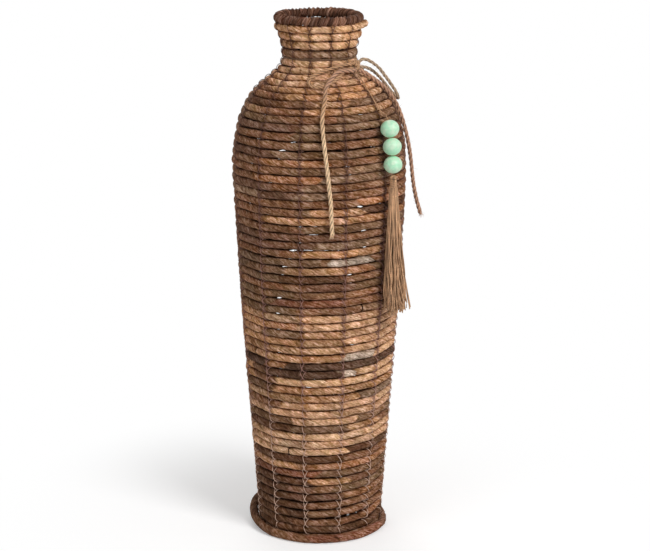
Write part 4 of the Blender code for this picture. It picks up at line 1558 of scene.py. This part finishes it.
    def build_tie(self, finish: Material) -> Object:
        """Make the thin turn of twine that lies between two rows and crosses over one row at the back.

        Args:
            finish: The twine material.

        Returns:
            The piece.
        """
        last = self.wall.turns - (self.wall.end_bearing - self.knot_bearing) / 360.0
        turns = last - np.arange(self.rows_tried)
        middle, _ = self.wall.at_row(self.wall.climb(turns) + 0.5)
        first = float(turns[np.abs(middle[:, 1] - self.tie_height).argmin()])
        turned = np.linspace(0.0, 360.0, self.tie_steps, endpoint=False)
        over = ease(np.interp(turned, self.tie_crossing, (0.0, 1.0)))
        middle, outward = self.wall.at_row(self.wall.climb(first + turned / 360.0) + 0.5 - over)
        apart = np.abs(over - 0.5) * self.wall.pitch
        off = np.sqrt(np.maximum(0.0, (self.wall.leaf_radius + self.tie_radius) ** 2 - apart**2))
        radius, height = (middle + outward * off[:, None]).T
        points = places(self.knot_bearing + turned, radius, height)
        line = Line(points, along=np.radians(turned) * radius, closed=True)
        piece = sweep(
            "neck_tie_twine", [line], self.shape, finish, radius=self.tie_radius, lay_length=0.006, sides=12,
            fray_depth=0.0001,
        )
        return dress(piece, "vase", "neck_tie")

    def build_knot(self, finish: Material) -> Object:
        """Make the bow's knot: wraps of twine round the crossing strands.

        Args:
            finish: The twine material.

        Returns:
            The piece.
        """
        reach = self.radius + self.wall.seat_gap
        level = math.sqrt(1 - (self.knot_drop / (self.knot_half_height + reach)) ** 2)
        deep = self.knot_depth_share * self.knot_half_height
        height = self.tie_height - self.knot_drop
        seat = self.clear_radius(self.tie_height, self.radius) + (deep + reach) * level
        middle = place(self.knot_bearing, max(seat, self.clear_radius(height, self.knot_half_height)), height)
        right, out = place(self.knot_bearing + 90.0, 1.0, 0.0), place(self.knot_bearing, 1.0, 0.0)
        axes = np.array([right, out, (0.0, 0.0, 1.0)])
        tall = self.knot_half_height - self.wrap_inset * self.radius
        angles = np.linspace(0.0, 2 * math.pi * self.knot_wraps, self.knot_steps)
        start, across, sway = self.wrap_across
        wraps = np.column_stack([
            start + across * np.arange(self.knot_steps) / self.knot_steps + sway * np.sin(angles),
            deep * np.cos(angles) + self.wrap_out, tall * np.sin(angles),
        ])
        strands = [wraps, *(np.array(stops) / 1000.0 for stops in self.knot_strands)]
        lines = [Line(smooth_line(np.array(middle) + stops @ axes, self.spacing)) for stops in strands]
        piece = sweep(
            "bow_knot_twine", lines, self.shape, finish, radius=self.loop_radius * self.knot_thinner,
            lay_length=-0.014, fray_depth=0.0004,
        )
        return dress(piece, "vase", "bow_knot")

    def fuzz(self, name: str, points: Array, count: int, seed: int, finish: Material,
             reach: float | None = None) -> Object:
        """Make loose fibres that stand out of twine.

        Args:
            name: The piece's name.
            points: The twine's middle line.
            count: How many fibres.
            seed: Start of the random numbers.
            finish: The fibre material.
            reach: Length of a fibre, about, if not the usual one.

        Returns:
            The piece.
        """
        numbers = np.random.default_rng(seed)
        sizes = np.linspace(*self.fuzz_sizes)
        share = np.linspace(0.0, 1.0, len(sizes))[:, None]
        lines = []
        for _ in range(count):
            start = points[numbers.integers(1, len(points) - 1)]
            side = numbers.normal(size=3)
            side /= np.linalg.norm(side)
            bend = numbers.normal(size=3) * self.fuzz_bend
            length = (reach or self.fuzz_reach) * numbers.uniform(*self.fuzz_lengths)
            root = start + side * self.radius * self.fuzz_root
            lines.append(Line(root + (side + bend * share) * share * length, sizes))
        return dress(sweep(name, lines, self.thread, finish, radius=0.00010, sides=3), "vase")

    def knot_fuzz(self, finish: Material) -> Object:
        """Make the loose fibres that stand out all over the knot.

        Args:
            finish: The fibre material.

        Returns:
            The piece.
        """
        sides = np.linspace(-1.0, 1.0, self.knot_fuzz_roots)
        middle = self.clear_radius(self.tie_height, self.radius) + self.knot_half_height
        bearing = self.knot_bearing + np.degrees(self.knot_half_length / middle) * sides
        height = self.tie_height - self.knot_drop
        points = places(bearing, np.full(len(sides), middle), np.full(len(sides), height))
        return self.fuzz("knot_fuzz", points, self.knot_fuzz_count, 47, finish, self.knot_fuzz_reach)

    def fray(self, name: str, points: Array, seed: int, finish: Material) -> Object:
        """Make the frayed end of a tail, which fans out past its last point.

        Args:
            name: The piece's name.
            points: The tail's middle line.
            seed: Start of the random numbers.
            finish: The fibre material.

        Returns:
            The piece.
        """
        numbers = np.random.default_rng(seed)
        way = points[-1] - points[-self.fray_points_back]
        way = way / np.linalg.norm(way)
        sizes = np.linspace(*self.fray_sizes)
        share = np.linspace(0.0, 1.0, len(sizes))[:, None]
        lines = []
        for _ in range(self.fray_count):
            side = numbers.normal(size=3)
            side -= way * side.dot(way)
            side /= np.linalg.norm(side)
            spread = numbers.uniform(*self.fray_spread)
            length = numbers.uniform(*self.fray_lengths)
            root = points[-1] - way * self.fray_inset + side * self.radius * numbers.uniform(*self.fray_roots)
            lines.append(Line(root + (way * share + side * spread * share**self.fray_power) * length, sizes))
        return dress(sweep(name, lines, self.thread, finish, radius=0.00016, sides=4), "vase")


@dataclass
class Pendant:
    """String, beads and tassel that hang from the bow's knot.

    Crown stops are drops below the tassel's top and distances from its middle. Windings are their way round
    and their share of the binding's radius. Strays are yarns that end apart: how far right, and at which
    drop. Spread shares are how wide the skirt is at shares of its length.
    """

    twine: Tree
    string_radius: float = 0.0007
    string_spacing: float = 0.0005
    bead_radius: float = 0.01025
    bead_half_length: float = 0.0096
    bead_rings: int = 33
    bead_segments: int = 56
    bore_radius: float = 0.0011
    bore_flare: float = 1.35
    bore_inset: float = 0.0004
    sharp_edge: float = 50.0
    bead_gap: float = 0.0005
    bearing: float = 47.8
    first_bead: tuple[float, float] = (0.1036, 0.4812)
    tilts: tuple[float, ...] = (15.0, 6.0, 2.0)
    string_route: tuple = (
        (51.2, 0.0508, 0.5395), (51.1, 0.0541, 0.5359), (50.6, 0.0580, 0.5325), (49.6, 0.0625, 0.5289),
        (48.2, 0.0685, 0.5236), (47.5, 0.0750, 0.5173), (47.5, 0.0818, 0.5088), (47.6, 0.0880, 0.5010),
        (47.8, 0.0932, 0.4974), (47.8, 0.0969, 0.4955),
    )
    bead_lead: tuple = ((47.8, 0.0975, 0.4950), (47.8, 0.0993, 0.4929))
    tassel_length: float = 0.159
    crown_yarns: int = 15
    crown_stops: tuple = (
        (0.0016, 0.0004), (0.0026, 0.002262), (0.0050, 0.003276), (0.0090, 0.002952), (0.0180, 0.003034),
    )
    crown_spacing: float = 0.0008
    binding_radius: float = 0.0041
    binding_drops: tuple[float, float] = (0.0068, 0.0162)
    binding_turns: int = 4
    binding_steps: int = 96
    windings: tuple = ((1.0, 0.80), (-1.0, 0.86))
    skirt_start: float = 0.015
    spread: float = 0.0138
    spread_limit: float = 1.02
    spread_shares: tuple = ((0.0, 0.34), (0.16, 0.42), (0.40, 0.62), (0.70, 0.86), (1.0, 1.0))
    lean: float = 0.0065
    yarns: int = 120
    yarn_points: int = 34
    yarn_inner: tuple[float, float] = (0.02, 1.0)
    yarn_ends: tuple[float, float] = (0.86, 1.0)
    yarn_sizes: tuple[float, float] = (0.7, 1.25)
    yarn_reach: float = 0.95
    sway: tuple[float, float] = (0.0006, 0.0011)
    swirl: float = 0.25
    swirl_rates: tuple[float, float] = (2.0, 6.0)
    sway_rates: tuple[float, float] = (70.0, 170.0)
    strays: tuple = ((0.0172, 0.150), (0.0205, 0.158), (0.0222, 0.156), (-0.0060, 0.159))
    stray_power: float = 1.6
    stray_out: float = 0.004
    seed: int = 71

    def bead_places(self) -> list[tuple[Vector, Vector]]:
        """Middle and upward bore direction of each bead.

        Returns:
            One pair for each bead, top to bottom.
        """
        found = []
        for tilt in self.tilts:
            lean = math.radians(tilt)
            up = place(self.bearing, -math.sin(lean), math.cos(lean))
            middle = place(self.bearing, *self.first_bead)
            if found:
                last, way = found[-1]
                middle = last - way * self.bead_half_length - up * (self.bead_half_length + self.bead_gap)
            found.append((middle, up))
        return found

    def tassel_top(self) -> Vector:
        """Point where the tassel hangs from the string."""
        middle, up = self.bead_places()[-1]
        return middle - up * (self.bead_half_length + self.bead_gap)

    def build_string(self, node: str, body: str, points: Array, finish: Material) -> Object:
        """Make one of the two strings.

        Args:
            node: The node that it stands for.
            body: Body that it rides on.
            points: Its middle line.
            finish: The string material.

        Returns:
            The piece.
        """
        piece = sweep(
            f"{node}_twine", [Line(points)], self.twine, finish, radius=self.string_radius, lay_length=0.0042,
            sides=12, fray_depth=0.00005,
        )
        dress(piece, body, node)
        return piece

    def build_strings(self, finish: Material) -> list[Object]:
        """Make the string from the knot and the string through the beads.

        Args:
            finish: The string material.

        Returns:
            The two pieces.
        """
        stops = [place(*stop) for stop in self.bead_lead]
        for middle, up in self.bead_places():
            stops += [middle + up * self.bead_half_length, middle]
        through = evenly(np.array([*stops, self.tassel_top()]), self.string_spacing)
        hung = routed(self.string_route, self.string_spacing)
        return [
            self.build_string("pendant_string", "pendant", hung, finish),
            self.build_string("bead_string", "bead_line", through, finish),
        ]

    def build_bead(self, number: int, finish: Material, body: str) -> Object:
        """Make one turned bead with its bore and bevelled bore edges.

        Args:
            number: The bead's number, from 1.
            finish: The bead material.
            body: The body that it turns with.

        Returns:
            The piece.
        """
        middle, up = self.bead_places()[number - 1]
        side = up.orthogonal().normalized()
        front = up.cross(side)
        least = math.asin(self.bore_radius * self.bore_flare / self.bead_radius)
        polar = np.linspace(least, math.pi - least, self.bead_rings)
        profile = [(self.bead_radius * math.sin(a), self.bead_half_length * math.cos(a)) for a in polar]
        drop = profile[0][1] - self.bore_inset
        profile += [(self.bore_radius, -drop), (self.bore_radius, drop)]
        angles = np.linspace(0.0, 2 * math.pi, self.bead_segments, endpoint=False)
        points = np.array([
            middle + up * rise + side * (reach * math.cos(a)) + front * (reach * math.sin(a))
            for reach, rise in profile for a in angles
        ])
        ring = np.arange(len(points)).reshape(len(profile), -1)
        below = np.roll(ring, -1, axis=0)
        faces = np.stack([ring, np.roll(ring, -1, axis=1), np.roll(below, -1, axis=1), below], axis=-1)
        mesh = bpy.data.meshes.new(f"bead_{number}_turned")
        mesh.from_pydata(points.tolist(), [], faces.reshape(-1, 4).tolist())
        turn_out(mesh)
        mesh.shade_smooth()
        mesh.set_sharp_from_angle(angle=math.radians(self.sharp_edge))
        mesh.materials.append(finish)
        return dress(show(f"bead_{number}_turned", mesh), body, f"bead_{number}")

    def tassel_spot(self, drop: float, right: float = 0.0, out: float = 0.0) -> Array:
        """Point of the tassel: a drop below its top, and so far right and out of its middle."""
        across = place(self.bearing + 90.0, self.lean * drop / self.tassel_length + right, 0.0)
        return np.array(self.tassel_top() + across + place(self.bearing, out, -drop))

    def round_spot(self, drop: float, reach: float, angle: float) -> Array:
        """Point of the tassel at a drop below its top, so far from its middle and so far round it."""
        return self.tassel_spot(drop, reach * math.cos(angle), reach * math.sin(angle))

    def build_binding(self, finish: Material) -> list[Object]:
        """Make the tassel's crown of folded yarn and the thread wound round it.

        Args:
            finish: The yarn material.

        Returns:
            The two pieces.
        """
        yarns = [
            Line(smooth_line(
                [self.round_spot(*stop, angle) for stop in self.crown_stops], self.crown_spacing,
            ))
            for angle in np.linspace(0.0, 2 * math.pi, self.crown_yarns, endpoint=False)
        ]
        angles = np.linspace(0.0, 2 * math.pi * self.binding_turns, self.binding_steps)
        drops = np.linspace(*self.binding_drops, self.binding_steps)
        wound = [
            Line(np.array([
                self.round_spot(drop, self.binding_radius * share, way * angle)
                for drop, angle in zip(drops, angles)
            ]))
            for way, share in self.windings
        ]
        crown = sweep(
            "tassel_crown_yarn", yarns, self.twine, finish, radius=0.00075, sides=8, lay_length=0.005,
            fray_depth=0.0001,
        )
        binding = sweep(
            "tassel_binding_thread", wound, self.twine, finish, radius=0.00075, sides=10, lay_length=0.005,
            fray_depth=0.0002,
        )
        return [dress(crown, "tassel"), dress(binding, "tassel", "tassel_binding")]

    def skirt_yarn(self, numbers: np.random.Generator) -> Line:
        """Line of one of the skirt's yarns.

        Args:
            numbers: Random numbers.

        Returns:
            The line.
        """
        angle = numbers.uniform(0.0, 2 * math.pi)
        inner = math.sqrt(numbers.uniform(*self.yarn_inner))
        end = self.tassel_length * numbers.uniform(*self.yarn_ends)
        drops = np.linspace(self.skirt_start, end, self.yarn_points)
        share = (drops - self.skirt_start) / (self.tassel_length - self.skirt_start)
        reach = np.interp(share, *np.transpose(self.spread_shares)) * self.spread * inner * self.yarn_reach
        first, second = numbers.uniform(0.0, 2 * math.pi, 2)
        sway = (self.sway[0] + self.sway[1] * share) * share
        turn = angle + self.swirl * np.sin(share * numbers.uniform(*self.swirl_rates) + first)
        across = reach * np.cos(turn) + sway * np.sin(drops * numbers.uniform(*self.sway_rates) + first)
        depth = reach * np.sin(turn) + sway * np.cos(drops * numbers.uniform(*self.sway_rates) + second)
        limit = np.maximum(1.0, np.hypot(across, depth) / (self.spread * self.spread_limit))
        points = [self.tassel_spot(*spot) for spot in zip(drops, across / limit, depth / limit)]
        return Line(np.array(points), np.full(len(drops), numbers.uniform(*self.yarn_sizes)))

    def stray_yarn(self, across: float, drop: float) -> Line:
        """Line of a yarn that hangs apart.

        Args:
            across: How far right its end lies.
            drop: How far below the tassel's top.

        Returns:
            The line.
        """
        drops = np.linspace(self.skirt_start, drop, self.yarn_points)
        share = (drops - self.skirt_start) / (self.tassel_length - self.skirt_start)
        right = self.binding_radius * 0.5 * (1 - share) + across * share**self.stray_power
        return Line(np.array([self.tassel_spot(*spot) for spot in zip(drops, right, self.stray_out * share)]))

    def build_skirt(self, finish: Material) -> Object:
        """Make the skirt's yarns, each hanging a little apart from the others.

        Args:
            finish: The yarn material.

        Returns:
            The piece.
        """
        numbers = np.random.default_rng(self.seed)
        lines = [self.skirt_yarn(numbers) for _ in range(self.yarns)]
        lines += [self.stray_yarn(*stray) for stray in self.strays]
        piece = sweep(
            "tassel_skirt_yarn", lines, self.twine, finish, radius=0.00068, sides=8, lay_length=0.006,
            fray_depth=0.00015, groove_share=0.25,
        )
        return dress(piece, "tassel", "tassel_skirt")


@dataclass
class Studio:
    """Pale floor, soft lamps and the camera at the photograph's angle.

    A lamp is its name, place, width and power. The floor turns white between two distances.
    """

    camera_distance: float = 1.900
    camera_height: float = 0.790
    camera_pitch: float = 14.5
    camera_yaw: float = -0.195
    lens: float = 94.31
    floor_half: float = 6.0
    world_light: float = 0.39
    floor_glow: float = 0.25
    floor_shade: float = 0.86
    floor_roughness: float = 0.9
    white_from: float = 0.13
    white_to: float = 0.42
    lamps: tuple = (
        ("key", (1.4, -1.6, 2.0), 1.1, 46.0),
        ("fill", (-1.8, -1.5, 1.3), 1.8, 8.0),
        ("back", (-0.3, 1.8, 2.1), 1.6, 12.0),
    )
    lit: Triple = (0.0, 0.0, 0.3)

    def build(self) -> None:
        """Make the camera, floor, lamps and world."""
        self.build_camera()
        self.build_floor()
        self.build_world()
        for name, spot, size, power in self.lamps:
            lamp = bpy.data.lights.new(name, "AREA")
            lamp.shape, lamp.size, lamp.energy = "DISK", size, power
            holder = show(name, lamp)
            holder.location = spot
            holder.rotation_euler = (Vector(self.lit) - Vector(spot)).to_track_quat("-Z", "Y").to_euler()

    def build_camera(self) -> None:
        """Make the camera and set it as the scene's own."""
        camera = show("camera", bpy.data.cameras.new("camera"))
        camera.data.lens = self.lens
        camera.location = (0.0, -self.camera_distance, self.camera_height)
        camera.rotation_euler = (math.radians(90.0 - self.camera_pitch), 0.0, math.radians(self.camera_yaw))
        bpy.context.scene.camera = camera

    def build_floor(self) -> None:
        """Make the pale floor: it keeps the shadow by the vase and turns white farther out."""
        half = self.floor_half
        mesh = bpy.data.meshes.new("floor")
        corners = [(-half, -half, 0.0), (half, -half, 0.0), (half, half, 0.0), (-half, half, 0.0)]
        mesh.from_pydata(corners, [], [(0, 1, 2, 3)])
        nodes = Surface("pale floor")
        nodes.shader["Base Color"].default_value = (self.floor_shade,) * 3 + (1.0,)
        nodes.shader["Roughness"].default_value = self.floor_roughness
        nodes.shader["Specular IOR Level"].default_value = 0.0
        plain = nodes.tree.nodes["Principled BSDF"].outputs[0]
        glow = nodes.add("ShaderNodeEmission", {"Strength": self.floor_glow}).outputs[0]
        near = nodes.add("ShaderNodeAddShader", {0: plain, 1: glow}).outputs[0]
        white = nodes.add("ShaderNodeEmission", {"Strength": 1.0}).outputs[0]
        where = nodes.add("ShaderNodeTexCoord").outputs["Object"]
        out = nodes.add("ShaderNodeVectorMath", {0: where}, operation="LENGTH").outputs["Value"]
        far = nodes.add("ShaderNodeMapRange", {
            "Value": out, "From Min": self.white_from, "From Max": self.white_to,
        }, interpolation_type="SMOOTHSTEP").outputs[0]
        shown = nodes.add("ShaderNodeMixShader", {0: far, 1: near, 2: white}).outputs[0]
        seen = nodes.add("ShaderNodeLightPath").outputs["Is Camera Ray"]
        mixed = nodes.add("ShaderNodeMixShader", {0: seen, 1: plain, 2: shown}).outputs[0]
        nodes.tree.links.new(mixed, nodes.tree.nodes["Material Output"].inputs["Surface"])
        mesh.materials.append(nodes.material)
        show("floor", mesh)

    def build_world(self) -> None:
        """Light the scene evenly, with a white background."""
        world = bpy.data.worlds.new("studio")
        world.use_nodes = True
        nodes = Nodes(world.node_tree)
        path = nodes.add("ShaderNodeLightPath").outputs
        seen = nodes.math("MAXIMUM", path["Is Camera Ray"], path["Is Glossy Ray"])
        light = world.node_tree.nodes["Background"].inputs
        light["Color"].default_value = (1.0, 1.0, 1.0, 1.0)
        nodes.tree.links.new(nodes.ramp(seen, 0.0, 1.0, self.world_light, 1.0), light["Strength"])
        bpy.context.scene.world = world


def build_bow(wall: Wall, tree: Tree, thread: Tree) -> list[Object]:
    """Make the twine round the neck, and its bow.

    Args:
        wall: The wall that it is tied round.
        tree: The twine tree.
        thread: The thread tree.

    Returns:
        The pieces.
    """
    # The shaded jute is jute darkened as painted shade, for the tie that lies in the groove between rows.
    jute, grey, rose, painted_shade = (
        FibreFinish(f"{name}jute twine", shade, groove=True).build() for name, shade in (
            ("", Shade.JUTE), ("grey ", Shade.GREY_JUTE), ("rose ", Shade.ROSE_JUTE),
            ("shaded ", Shade.PAINTED_SHADE_JUTE),
        )
    )
    pale = FibreFinish(
        "pale jute twine", Shade.PALE_JUTE, groove=True,
        by_height=((0.47, Shade.PALE_JUTE), (0.51, Shade.JUTE), (0.53, Shade.ROSE_JUTE)),
    ).build()
    fibre = FibreFinish("loose fibre", Shade.FIBRE, contrast=0.2).build()
    loose = FibreFinish("loose jute fibre", Shade.PALE_JUTE, contrast=0.3).build()
    twine = Twine(wall, tree, thread)
    made = [
        twine.free_cord("bow_loop_left", twine.left_loop, jute, "object", 0.017),
        twine.free_cord("bow_loop_right", twine.right_loop, grey, "object", 0.017),
        twine.free_cord("bow_tail_front", twine.front_tail, pale, "bare", 0.022),
        twine.free_cord("bow_tail_side", twine.side_tail, rose, "bare", 0.020),
        twine.build_tie(painted_shade), twine.build_knot(jute), twine.knot_fuzz(loose),
    ]
    for name, route, count, seed in (
        ("left_loop_fuzz", twine.left_loop, 60, 41), ("right_loop_fuzz", twine.right_loop, 60, 42),
        ("front_tail_fuzz", twine.front_tail, 110, 43), ("side_tail_fuzz", twine.side_tail, 110, 44),
    ):
        made.append(twine.fuzz(name, routed(route, 0.002), count, seed, fibre))
    for name, route, seed, finish in (
        ("front_tail_fray", twine.front_tail, 45, pale), ("side_tail_fray", twine.side_tail, 46, jute),
    ):
        made.append(twine.fray(name, routed(route, 0.001), seed, finish))
    return made


def build_pendant(tree: Tree) -> list[Object]:
    """Make the string, beads and tassel.

    Args:
        tree: The twine tree.

    Returns:
        The pieces.
    """
    string = FibreFinish("thin string", Shade.JUTE, groove=True).build()
    yarn = FibreFinish(
        "tassel yarn", Shade.YARN, groove=True, contrast=0.4, patch=0.54, patch_scale=620.0,
        patch_stretch=(1.0, 1.0, 0.05),
    ).build()
    mint = PaintFinish("mint paint", Shade.MINT, Shade.PALE_MINT, 0.42, 0.0, 0.07, 420.0).build()
    pendant = Pendant(tree)
    made = pendant.build_strings(string)
    for number, body in enumerate(("upper_bead", "middle_bead", "lower_bead"), 1):
        made.append(pendant.build_bead(number, mint, body))
    return [*made, *pendant.build_binding(yarn), pendant.build_skirt(yarn)]


def build_rope(wall: Wall, tree: Tree, thread: Tree) -> list[Object]:
    """Make the wall with its foot, base and rim, and its stitches.

    Args:
        wall: The wall's line.
        tree: The rope tree.
        thread: The thread tree.

    Returns:
        The pieces.
    """
    leaf = LeafFinish().build()
    ropes = Ropes(wall, Leaves(wall), tree, leaf)
    stitching = FibreFinish(
        "stitching thread", Shade.THREAD, contrast=0.2,
        by_height=((0.11, Shade.THREAD_LOW), (0.20, Shade.THREAD), (0.50, Shade.THREAD_HIGH)),
    ).build()
    made = [*ropes.build_wall(), ropes.build_foot(), ropes.build_coil(), Rim(wall).build(tree, leaf)]
    return made + Stitching(wall).build(thread, stitching)


def dress_frame(finish: Material) -> None:
    """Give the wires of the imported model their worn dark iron.

    Args:
        finish: The iron material.
    """
    for name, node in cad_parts.items():
        if name.startswith("rib_") or name.endswith("_wire") or name.startswith("base_bar"):
            node.data.materials.clear()
            node.data.materials.append(finish)


def main() -> None:
    """Build the vase's sub-assemblies in order."""
    logging.basicConfig(level=logging.INFO, format="%(message)s")
    bpy.context.scene.view_settings.view_transform = "Standard"
    Studio().build()
    wall, twine, thread = Wall(), twine_shape(), thread_shape()
    for piece in (
        *build_bow(wall, twine, thread), *build_pendant(twine), *build_rope(wall, rope_shape(), thread),
    ):
        LOG.info("%s: %d faces", piece.name, len(piece.data.polygons))
    dress_frame(PaintFinish("worn iron wire", Shade.IRON, Shade.IRON, 0.5, 1.0, 0.25, 500.0).build())


if __name__ == "__main__":
    main()
